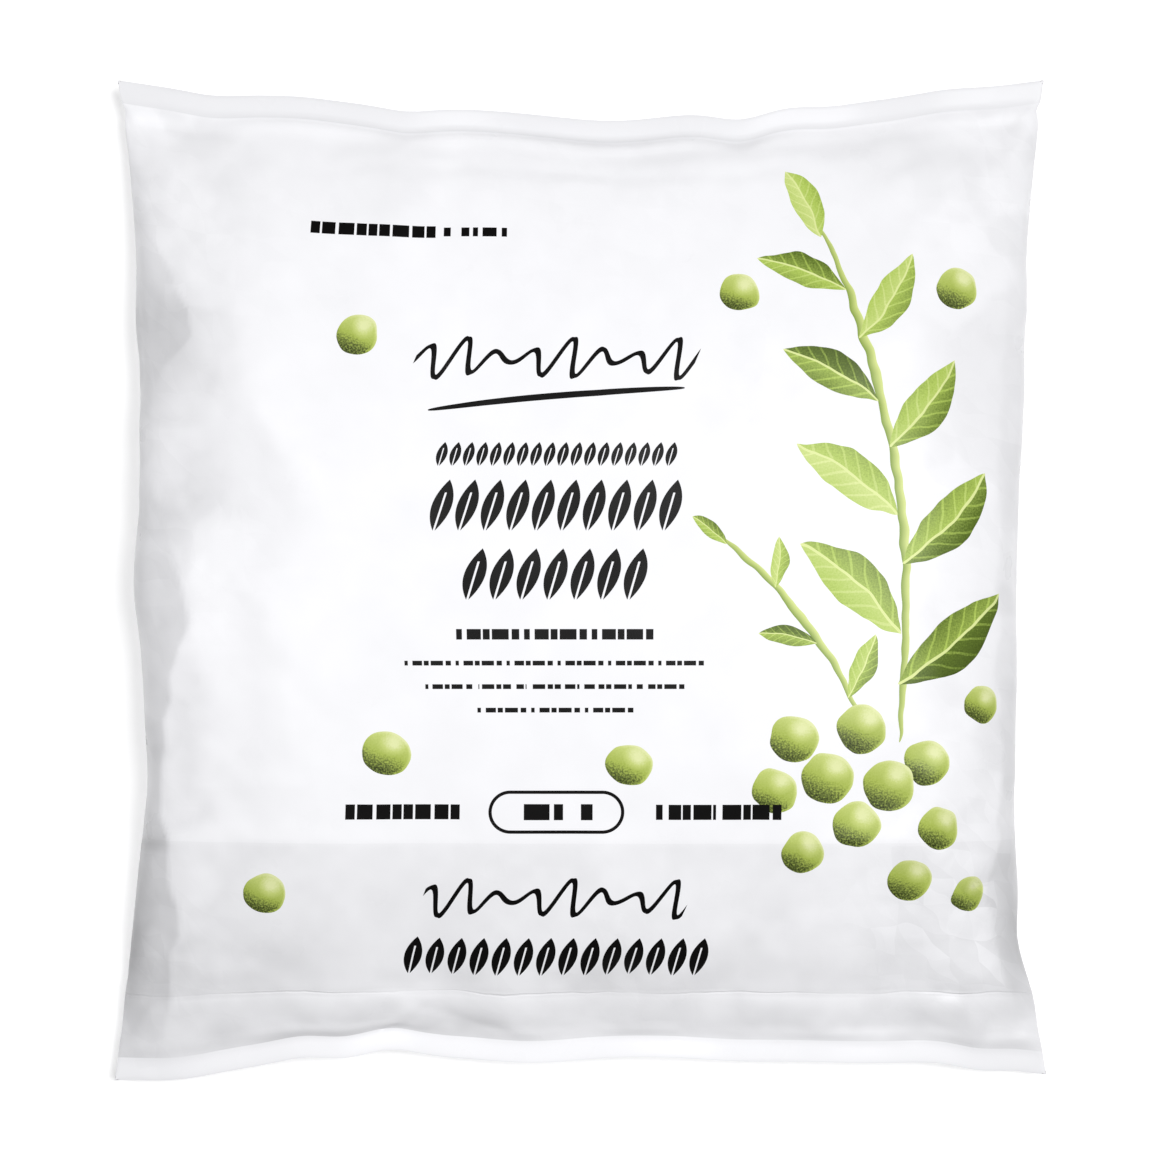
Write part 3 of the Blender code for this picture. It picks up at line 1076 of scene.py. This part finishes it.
@node_group(tone="Float", roughness="Float", height="Float")
def film_finish(sleeve: "Vector", crumple, shade):
    x, y, _ = split(sleeve)
    seal_line = SEAL_LINE / MM
    clouds = noise_at(sleeve, *CLOUD_NOISE)
    warped = noise_at(sleeve, *WARP_NOISE, "Color") * WARP + sleeve
    # Painted shade below the belly fold, where the front tilts away from the lamps.
    thin_white = (y < BELLY_FOLD / MM) * (x < MAP_MARGIN_X) * THIN_WHITE
    tone = clouds * CLOUDING + (1.0 - CLOUDING / 2 - thin_white)
    # Painted shade on the crumpled plates: each is darkened by a random share, as if turned from the lamps.
    _, plate = facet_net(laid_in(warped, at(0, 0), (0.0, 0.0, PLATE_SLANT), LONG_PLATE))
    tone = tone * (plate * crumple * -PLATE_TONE + 1.0) * shade
    towards_corner = maths("POWER", abs(x / (FILM_WIDTH / 2 / MM)), 2.0)
    bottom_tone = mix(towards_corner, BOTTOM_SEAL_TONE, BOTTOM_CORNER_TONE, "FLOAT")
    tone = mix(y < -seal_line, tone, bottom_tone, "FLOAT")
    tone = mix(y > seal_line, tone, TOP_SEAL_TONE, "FLOAT")

    def pressed(from_line, depth):
        return maths("MAXIMUM", from_line * (-1 / FOLD_LINE) + 1.0, 0.0) * depth

    height, _ = facet_net(warped * (1 / FACET_SIZE, 1 / FACET_SIZE, 0.0))
    foot_line = clouds * FOLD_WANDER + (FOOT_FOLD / MM - FOLD_WANDER / 2)
    fold_depth = maths("SINE", x * FOLD_SWING_PACE) * FOLD_DEPTH_SWING + FOLD_DEPTH
    lines = pressed(abs(y - foot_line), fold_depth) + pressed(abs(abs(y) - seal_line), SEAL_LINE_DEPTH)
    return tone, clouds * (MATT - SATIN) + SATIN, height * crumple + lines


print("finish", len(bpy.data.node_groups["film_finish"].nodes), "nodes")

# %% [markdown]
# ## Black ink
# Plain dark shapes run down the middle of the front and give it its contrast. Each one is a mask that
# is worked out from where a point lies on the sleeve. A frieze repeats one slanted leaf with a slit for
# its rib. A block row is a bar cut by slits, wider ones between groups.

# %% Rows of leaves and blocks
FRIEZE_SLANT = 0.28
FRIEZE_LEAF = 0.4
RIB_SLIT, RIB_LENGTH = 0.08, 0.5
BLOCK_WANDER = 0.24


def row_place(sleeve, centre, half_width):
    """Place in a row: across and up in millimetres, and the share of the row from 0 to 1."""
    x, y, _ = split(sleeve - centre)
    return x, y, x / half_width * 0.5 + 0.5


@node_group(mask="Float")
def leaf_frieze(sleeve: "Vector", centre: "Vector", half_width, half_height, leaves):
    x, y, share = row_place(sleeve, centre, half_width)
    pitch = half_width * 2.0 / leaves
    cell = maths("FRACT", share * leaves) - 0.5
    across = abs(cell - y * FRIEZE_SLANT / pitch)
    up = y / half_height
    leaf = across * (1 / FRIEZE_LEAF) + up * up < 1.0
    beside_rib = maths("MAXIMUM", across > RIB_SLIT / 2, up > RIB_LENGTH)
    return leaf * beside_rib * (abs(x) < half_width)


@node_group(mask="Float")
def block_row(sleeve: "Vector", centre: "Vector", half_width, half_height, blocks, slit, groups, gap):
    x, y, share = row_place(sleeve, centre, half_width)
    uneven = maths("SINE", share * groups * (4 * math.pi)) * BLOCK_WANDER
    block = maths("FRACT", share * blocks + uneven) > slit
    group = maths("FRACT", share * groups) > gap
    return block * group * (abs(x) < half_width) * (abs(y) < half_height)


print("groups", [group.name for group in bpy.data.node_groups])

# %% [markdown]
# A stroke runs between two places, bows to one side and tapers at both ends. A scribble is a slanted
# wave with a pen's even width. A capsule is a thin round-ended outline.

# %% Drawn lines
SCRIBBLE_SLANT, SCRIBBLE_LOOP = 0.4, 7.2
LOOP_LEAST, LOOP_SWELL, SWELL_PACE = 0.6, 0.4, 0.31
STROKE_TAPER = 0.35


@node_group(mask="Float", across="Float")
def stroke(sleeve: "Vector", start: "Vector", turn, length, bow, half_width):
    """A tapered stroke. Also gives how far across it a point lies, from -1 to 1."""
    inputs = {"Vector": sleeve - start, "Angle": turn * -1.0}
    x, y, _ = split(add(sleeve.tree, "ShaderNodeVectorRotate", inputs, rotation_type="Z_AXIS"))
    share = x / length
    hump = share * (1.0 - share) * 4.0
    width = maths("POWER", maths("MAXIMUM", hump, 0.0), STROKE_TAPER) * half_width
    off = y - hump * bow
    return abs(off) < width, off / half_width


@node_group(mask="Float")
def scribble(sleeve: "Vector", centre: "Vector", half, swing, pen):
    """A slanted wave. Its slope is divided out, so that the line is as wide in a rise as at a turn."""
    x, y, _ = split(sleeve - centre)
    slanted = y * -SCRIBBLE_SLANT + x
    pace = 2 * math.pi / SCRIBBLE_LOOP
    phase = slanted * pace
    height = swing * (maths("SINE", phase * SWELL_PACE + 1.0) * LOOP_SWELL + LOOP_LEAST)
    slope = height * (maths("COSINE", phase) * pace)
    off = abs(y - height * maths("SINE", phase)) / maths("SQRT", slope * slope + 1.0)
    return (off < pen) * (abs(slanted) < half)


@node_group(mask="Float")
def capsule(sleeve: "Vector", centre: "Vector", core: "Vector", radius, line):
    past_core = maths("MAXIMUM", abs(sleeve - centre) - core, (0.0, 0.0, 0.0))
    return abs(maths("LENGTH", past_core) - radius) < line


print("groups", [group.name for group in bpy.data.node_groups])

# %% [markdown]
# All black places are millimetres from the middle of the front. One function lays them out in a group
# of its own, which gives a single mask for all black ink.

# %% Black layout
# Friezes: (middle x, middle y, width, height, leaves)
FRIEZES = (
    (-5, 26.4, 50, 5.2, 18), (-5, 15.6, 52, 11, 10),
    (-5, 1.2, 38, 11, 7), (-5, -80, 66, 8.8, 14),
)
# Block rows: (middle x, middle y, width, height, blocks, slit, groups, gap)
BLOCK_ROWS = (
    (-44, 76.2, 27, 2.9, 9, 0.16, 1, 0), (-22.5, 76.2, 14, 2.2, 5, 0.4, 1, 0),
    (-5.5, -11.2, 41, 2.2, 15, 0.2, 3, 0.07), (-5.6, -17.2, 62, 1, 30, 0.24, 6, 0.09),
    (-5.6, -22.1, 54, 1, 26, 0.24, 5, 0.09), (-5.6, -27, 33, 1, 15, 0.24, 3, 0.09),
    (-37, -48.4, 24, 3.2, 8, 0.16, 1, 0), (28, -48.4, 27, 3.2, 9, 0.16, 2, 0.08),
    (-5, -48.4, 15, 3.4, 3, 0.3, 1, 0),
)
# Scribbles: (middle x, middle y, half width, swing)
SCRIBBLES = ((-5.0, 47.0, 29.0, 4.4), (-5.0, -67.0, 28.0, 4.0))
PEN = 0.5
# The stroke: (start, end, bow, half width), and the capsule: (middle, half of its core, radius, half line)
UNDERLINE = ((-31.5, 35.8), (21.5, 40.6), 0.7, 0.7)
CAPSULE = ((-5.0, -48.4), (9.5, 0.0), 4.2, 0.35)


def drawn_stroke(sleeve, start, end, bow, half_width):
    turn = math.atan2(end[1] - start[1], end[0] - start[0])
    return stroke(sleeve, at(*start), turn, math.dist(start, end), bow, half_width)


def all_of(masks):
    """One mask that holds wherever one of the masks holds."""
    total, *others = masks
    for mask in others:
        total = maths("MAXIMUM", total, mask)
    return total


@node_group(mask="Float")
def black_ink(sleeve: "Vector"):
    centre, core, radius, line = CAPSULE
    masks = [capsule(sleeve, at(*centre), at(*core), radius, line), drawn_stroke(sleeve, *UNDERLINE)[0]]
    for shape, rows_of_shape in ((leaf_frieze, FRIEZES), (block_row, BLOCK_ROWS)):
        for x, y, width, height, *cuts in rows_of_shape:
            masks.append(shape(sleeve, at(x, y), width / 2, height / 2, *cuts))
    for x, y, half, swing in SCRIBBLES:
        masks.append(scribble(sleeve, at(x, y), half, swing, PEN))
    return all_of(masks)


print("black ink", len(bpy.data.node_groups["black_ink"].nodes), "nodes")

# %% [markdown]
# ## Green ink
# The green side of the print is a tall and a small sprig of plain pointed leaves over a heap of peas. A
# leaf only has to answer one question, where a point lies across and along it. The last leaf that says
# "mine" hands its own small map on, and one set of nodes then paints all leaves. Peas work the same way
# with a map in radii. This keeps the tree small, and the order of the list is the order of the layers.

# %% Green shapes
LEAF_ARCH = 0.3


@node_group(map="Vector", mask="Float")
def leaf_shape(
    sleeve: "Vector", below: "Vector", mask_below, centre: "Vector", turn: "Vector", half: "Vector",
    tone: "Vector",
):
    x, y, _ = split(laid_in(sleeve, centre, turn, half))
    square = y * y
    arched = square * LEAF_ARCH + x
    mine = abs(arched) + square < 1.0
    return mix(mine, below, combine(arched, y) + tone, "VECTOR"), all_of((mine, mask_below))


@node_group(map="Vector", mask="Float")
def pea_shape(sleeve: "Vector", below: "Vector", mask_below, centre: "Vector", shrink: "Vector"):
    local = (sleeve - centre) * shrink
    mine = maths("LENGTH", local) < 1.0
    return mix(mine, below, local, "VECTOR"), all_of((mine, mask_below))


print("groups", len(bpy.data.node_groups))

# %% [markdown]
# Leaves stand along each stem by a rule: they take turns left and right, shorten towards the tip, and
# the last one points straight on. A stem is a bowed stroke, so its leaves start from the same curve.

# %% Green layout
# Sprigs: (start, end, bow, half width of the stem, leaves, longest leaf)
SPRIGS = (
    ((66, -34), (50, 78), -7.0, 1.0, 9, 31.0),
    ((58, -29), (29, 9), -3.0, 0.8, 4, 15.0),
)
FIRST_LEAF, LEAF_SPAN = 0.1, 0.87
LEAF_LEAN = math.radians(48)
LEAF_SLENDER, LEAF_SHORTENING = 0.36, 0.42

# Peas: (x, y, radius, roundness), the later ones over the earlier
PEAS = (
    (44, -33, 5, 0.95), (72, -38, 4.8, 1), (58, -31, 5.2, 0.97), (51, -41, 5.6, 0.93),
    (64, -43, 5.4, 1), (40, -44, 4.7, 1), (57, -51, 5, 0.94), (75, -52, 4.6, 0.97),
    (46, -57, 4.4, 1), (69, -63, 4.6, 0.95), (83, -66, 3.9, 1), (85, -26, 4.3, 0.96),
    (33, 62, 4.2, 1), (79, 62, 4.5, 0.94), (-46, 52, 4.4, 0.97), (-40, -36, 5, 0.92),
    (10, -38.5, 4.7, 0.9), (-66, -66, 4.5, 0.95),
)


def leaves_of(start, end, bow, _, count, longest):
    """Centre, half size and turn of each leaf along one sprig."""
    start, end = np.array(start, float), np.array(end, float)
    run = end - start
    side_way = np.array([-run[1], run[0]]) / np.linalg.norm(run)
    for number in range(count):
        share = FIRST_LEAF + LEAF_SPAN * number / (count - 1)
        foot = start + run * share + side_way * bow * 4 * share * (1 - share)
        heading = math.atan2(*(run + side_way * bow * 4 * (1 - 2 * share))[::-1])
        lean = 0.0 if number == count - 1 else LEAF_LEAN * (1 if number % 2 else -1)
        reach = longest * (1 - LEAF_SHORTENING * share)
        turn = heading + lean - math.pi / 2
        centre = foot + np.array([-math.sin(turn), math.cos(turn)]) * reach / 2
        yield centre, (reach * LEAF_SLENDER / 2, reach / 2), turn


print("leaves", sum(sprig[4] for sprig in SPRIGS), "and peas", len(PEAS))

# %% [markdown]
# Paint follows each small map. A leaf has a pale midrib and side veins, a lighter and a darker half and
# a tone of its own. A pea is a lit ball: pale towards the upper right, dark and grainy below, with a
# pale rim of bounced light.

# %% Green paint
LEAF_GREENS = ((0.0, (34, 42, 12)), (0.28, (92, 112, 42)), (0.55, (172, 196, 92)), (0.95, (222, 231, 160)))
PEA_GREENS = (
    (0.05, (34, 42, 12)), (0.29, (95, 107, 52)), (0.46, (163, 180, 83)), (0.74, (191, 204, 118)),
    (1.0, (220, 226, 168)),
)
VEIN_SLANT, VEIN_PACE, VEIN_THIN, MIDRIB = -9.0, 21.0, 0.86, 0.055
LEAF_TONE, TONE_SPREAD, DARK_HALF, DARK_RIM = 0.45, 0.34, -0.16, -0.14
VEIN_LIGHT, MIDRIB_LIGHT, LEAF_GRAIN = 0.12, 0.9, 0.34
PEA_LIGHT, PEA_TONE, PEA_CONTRAST = (0.3, 0.72, 0.0), 0.5, 0.46
SHINE_PLACE, SHINE_RADIUS, SHINE_LIGHT = (0.3, 0.36, 0.0), 0.6, 0.7
RIM_FROM, RIM_LIGHT, RIM_LEFT, RIM_TO_RIGHT = 0.86, 2.4, 0.4, 0.5
PEA_GRAIN, SHADED_GRAIN = 0.3, 1.3


def leaf_colour(leaf_map, grain):
    x, y, tone = split(leaf_map)
    wide = abs(x)
    veins = maths("SINE", wide * VEIN_SLANT + y * VEIN_PACE) > VEIN_THIN
    value = tone * TONE_SPREAD + LEAF_TONE + (x > 0.0) * DARK_HALF
    value = value + veins * VEIN_LIGHT + wide * DARK_RIM + grain * LEAF_GRAIN
    return ink_ramp(maths("MAXIMUM", value, (wide < MIDRIB) * MIDRIB_LIGHT), LEAF_GREENS)


def pea_colour(pea_map, grain):
    x, _, _ = split(pea_map)
    towards = maths("DOT_PRODUCT", pea_map, PEA_LIGHT)
    shine = maths("MAXIMUM", SHINE_RADIUS - maths("LENGTH", pea_map - SHINE_PLACE), 0.0) * SHINE_LIGHT
    rim = maths("MAXIMUM", maths("LENGTH", pea_map) - RIM_FROM, 0.0) * RIM_LIGHT
    shaded = maths("MAXIMUM", towards * -1.0, 0.0)
    value = towards * PEA_CONTRAST + PEA_TONE + shine + grain * (shaded * SHADED_GRAIN + PEA_GRAIN)
    return ink_ramp(value + rim * (x * RIM_TO_RIGHT + RIM_LEFT), PEA_GREENS)


print("stops of green", len(LEAF_GREENS), "and", len(PEA_GREENS))

# %% [markdown]
# Stems come first, leaves lie over them and peas over both. A slow noise moves all places a little, as a
# hand would draw them, and a fine one gives the grain.

# %% Green ink
STEM_GREENS = ((0.1, (208, 220, 138)), (0.9, (132, 156, 70)))
HAND, HAND_NOISE = (1.5, 1.5, 0.0), (0.2, 0.5)
GRAIN_NOISE, GRAIN_ROUGHNESS = (2.6, 2.0), 0.7
NEXT_TONE = 0.618


@node_group(colour="Color", mask="Float")
def green_ink(sleeve: "Vector"):
    wobble = noise_at(sleeve, *HAND_NOISE, "Color") - (0.5, 0.5, 0.5)
    drawn = wobble * HAND + sleeve
    grain = noise_at(sleeve, *GRAIN_NOISE, roughness=GRAIN_ROUGHNESS) - 0.5
    colour, mask = ink(*STEM_GREENS[0][1]), 0.0
    for sprig in SPRIGS:
        stem, across = drawn_stroke(drawn, *sprig[:4])
        colour = mix(stem, colour, ink_ramp(across * 0.5 + 0.5, STEM_GREENS))
        mask = all_of((mask, stem))
    leaf_map, leaf_mask = at(0, 0), 0.0
    leaves = [leaf for sprig in SPRIGS for leaf in leaves_of(*sprig)]
    for number, (centre, half, turn) in enumerate(leaves):
        shape = (at(*centre), (0.0, 0.0, turn), (*half, 1.0), (0.0, 0.0, number * NEXT_TONE % 1.0))
        leaf_map, leaf_mask = leaf_shape(drawn, leaf_map, leaf_mask, *shape)
    pea_map, pea_mask = at(0, 0), 0.0
    for x, y, radius, roundness in PEAS:
        shrink = (1 / radius, 1 / (radius * roundness), 1.0)
        pea_map, pea_mask = pea_shape(drawn, pea_map, pea_mask, at(x, y), shrink)
    colour = mix(leaf_mask, colour, leaf_colour(leaf_map, grain))
    colour = mix(pea_mask, colour, pea_colour(pea_map, grain))
    return colour, all_of((mask, leaf_mask, pea_mask))


print("green ink", len(bpy.data.node_groups["green_ink"].nodes), "nodes")

# %% [markdown]
# ## The materials
# The film's own white comes first, then green ink, then black over it, as a press lays them down. Ink
# is a thin layer in the film, so it takes the film's tone, painted shade included, and its gloss. The
# finest crinkles go through a Bump node, because faces small enough for them would be ten times as many.
#
# All the shapes in one material would be worked out for every point of white film as well. So there
# are four materials on one recipe, without ink, with either ink and with both, and each face takes the
# one that has the inks near it.

# %% Film materials
FILM_WHITE = (239, 239, 242)
BLACK_INK = (10, 9, 9)
SHINE = 0.14
BUMP_DEPTH = 0.6 * MM


def film_material(name, has_green, has_black):
    material = bpy.data.materials.new(name)
    material.use_nodes = True
    tree = material.node_tree
    place = {
        "Vector": add(tree, "ShaderNodeUVMap", uv_map="sleeve"),
        "Location": (-MAP_MARGIN_X, -MAP_MARGIN_Y, 0.0),
        "Scale": (4 * MAP_MARGIN_X, 2 * MAP_MARGIN_Y, 1.0),
    }
    sleeve = add(tree, "ShaderNodeMapping", place)
    crumpled = add(tree, "ShaderNodeAttribute", output="Fac", attribute_name="crumple")
    shade = add(tree, "ShaderNodeAttribute", output="Fac", attribute_name="shade")
    tone, roughness, height = film_finish(sleeve, crumpled, shade)
    printed = ink(*FILM_WHITE)
    if has_green:
        green, green_mask = green_ink(sleeve)
        printed = mix(green_mask, printed, green)
    if has_black:
        printed = mix(black_ink(sleeve), printed, ink(*BLACK_INK))
    # The tone, with its painted shade, darkens white film and inks alike.
    toned = mix(1.0, printed, tone, blend_type="MULTIPLY")
    bumps = add(tree, "ShaderNodeBump", {"Height": height, "Distance": BUMP_DEPTH})
    finish = {"Base Color": toned, "Roughness": roughness, "Normal": bumps, "Specular IOR Level": SHINE}
    for name, value in finish.items():
        join(value, tree.nodes["Principled BSDF"].inputs[name])
    return material


print("film white in the shader", [round(value, 2) for value in ink(*FILM_WHITE)[:3]])

# %% [markdown]
# Which faces lie near ink follows from the layout itself: a box round every black shape, a circle round
# every leaf and pea, and a band along the stroke and every stem, each a little larger than the shape.

# %% Ink on faces
INK_MARGIN = 2.0


def in_box(x, y, middle_x, middle_y, width, height):
    return (np.abs(x - middle_x) < width / 2 + INK_MARGIN) & (np.abs(y - middle_y) < height / 2 + INK_MARGIN)


def in_circle(x, y, centre, radius):
    return np.hypot(x - centre[0], y - centre[1]) < radius + INK_MARGIN


def near_segment(x, y, start, end, reach):
    run = np.subtract(end, start)
    share = np.clip(((x - start[0]) * run[0] + (y - start[1]) * run[1]) / (run @ run), 0, 1)
    return np.hypot(x - start[0] - share * run[0], y - start[1] - share * run[1]) < reach + INK_MARGIN


def near_black(x, y):
    start, end, bow, half_width = UNDERLINE
    centre, core, radius, _ = CAPSULE
    near = near_segment(x, y, start, end, abs(bow) + half_width)
    near |= in_box(x, y, *centre, 2 * (core[0] + radius), 2 * (core[1] + radius))
    for box in (*FRIEZES, *BLOCK_ROWS):
        near |= in_box(x, y, *box[:4])
    for middle_x, middle_y, half, swing in SCRIBBLES:
        near |= in_box(x, y, middle_x, middle_y, 2 * (half + SCRIBBLE_SLANT * swing), 2 * swing)
    return near


def near_green(x, y):
    near = np.zeros(x.shape, bool)
    for sprig in SPRIGS:
        near |= near_segment(x, y, sprig[0], sprig[1], abs(sprig[2]) + sprig[3])
        for centre, half, _ in leaves_of(*sprig):
            near |= in_circle(x, y, centre, half[1])
    for pea_x, pea_y, radius, _ in PEAS:
        near |= in_circle(x, y, (pea_x, pea_y), radius)
    return near


def ink_on_faces():
    """0 for bare film, 1 with green, 2 with black and 3 with both, for each face."""
    x, y = sleeve_x[face_corners].mean(axis=1), sleeve_y[face_corners].mean(axis=1)
    printed_side = on_front[face_corners].any(axis=1)
    return (near_green(x, y) * 1 + near_black(x, y) * 2) * printed_side


slots = ink_on_faces()
print("faces by ink", np.bincount(slots, minlength=4))

# %% [markdown]
# The film is shaded smooth, with sharp edges left where it turns over at the seals, and then takes its
# four materials.

# %% Dress the film
RIM_SMOOTH = math.radians(40)
SHARP_REACH = 12 * MM


def smooth_sides(mesh):
    """Keeps sharp edges by the seals only. Along the belly the film turns over in a round fold."""
    ends = read(mesh.edges, "vertices", 2, np.int32)
    sharp = read(mesh.edges, "use_edge_sharp", kind=bool)
    by_seal = np.abs(sleeve_y[ends]).max(axis=1) > (SEAL_LINE - SHARP_REACH) / MM
    mesh.edges.foreach_set("use_edge_sharp", sharp & by_seal)
    return np.count_nonzero(sharp), np.count_nonzero(sharp & by_seal)


make_active(film)
bpy.ops.object.shade_smooth_by_angle(angle=RIM_SMOOTH)
print("sharp edges found and kept", *smooth_sides(film.data))
film.data.materials.clear()
for name, inks in (("bare", (0, 0)), ("green", (1, 0)), ("black", (0, 1)), ("green_black", (1, 1))):
    film.data.materials.append(film_material("film_" + name, *inks))
film.data.polygons.foreach_set("material_index", slots.astype(np.int32))
film.data.update()
print("materials", [material.name for material in film.data.materials])

# %% [markdown]
# ## Floor
# The bag lies on a white light table, as in a pack shot. The table glows a little, so the bag's shadow
# on it stays pale and its outline crisp. It is a stage for the bag and no part of it.

# %% Floor
TABLE_SIZE_M = 6.0
TABLE_LOOK = {
    "Base Color": (0.94, 0.94, 0.94, 1.0),
    "Roughness": 0.9,
    "Specular IOR Level": 0.1,
    "Emission Color": (1.0, 1.0, 1.0, 1.0),
    "Emission Strength": 0.2,
}


def white_floor():
    deselect()
    bpy.ops.mesh.primitive_plane_add(size=TABLE_SIZE_M)
    floor = bpy.context.object
    floor.name = floor.data.name = "floor"
    paper = bpy.data.materials.new("paper")
    paper.use_nodes = True
    for name, value in TABLE_LOOK.items():
        join(value, paper.node_tree.nodes["Principled BSDF"].inputs[name])
    floor.data.materials.append(paper)
    return floor


floor = white_floor()
floor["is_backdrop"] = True
print("floor", round(floor.dimensions.x, 1), "m wide")

# %% [markdown]
# ## Light
# Two soft lamps hang high to the right and left of the bag. None is straight overhead: seen from above,
# film that lies flat is a mirror for anything up there, and would turn the black ink grey. The right
# lamp is the stronger one, so the left side falls into shade. A dim white sky fills the shadows.

# %% Lamps
# Lamps: (place in metres, power)
LAMPS = {"lamp_right": ((0.95, 0.25, 2.4), 50.0), "lamp_left": ((-1.0, 0.1, 2.4), 26.0)}
LAMP_AIM = Vector((0.0, 0.0, 0.015))
LAMP_SIZE = 1.2
WORLD_LIGHT = 0.13


def lamp(name, place, power):
    data = bpy.data.lights.new(name, "AREA")
    data.shape = "SQUARE"
    data.size = LAMP_SIZE
    data.energy = power
    obj = bpy.data.objects.new(name, data)
    obj.location = place
    obj.rotation_euler = (LAMP_AIM - Vector(place)).to_track_quat("-Z", "Y").to_euler()
    bpy.context.scene.collection.objects.link(obj)


for name, (place, power) in LAMPS.items():
    lamp(name, place, power)

world = bpy.data.worlds.new("studio")
world.use_nodes = True
background = world.node_tree.nodes["Background"]
background.inputs["Strength"].default_value = WORLD_LIGHT
background.inputs["Color"].default_value = (1.0, 1.0, 1.0, 1.0)
bpy.context.scene.world = world
bpy.context.scene.view_settings.view_transform = "Standard"

# %% [markdown]
# ## Join the frame
# The film rides on the only body and stands for the plain solid of the bag. The box of the film is
# printed, to set beside the size of the solid printed at the start, as the film should keep its size.

# %% Join the frame
for helper in (PLACE, SHEET):
    film.data.attributes.remove(film.data.attributes[helper])
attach(film, "root")
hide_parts("bag")

film_low, film_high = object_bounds()
print("film box", [round(v / MM, 1) for v in film_high - film_low], "mm")
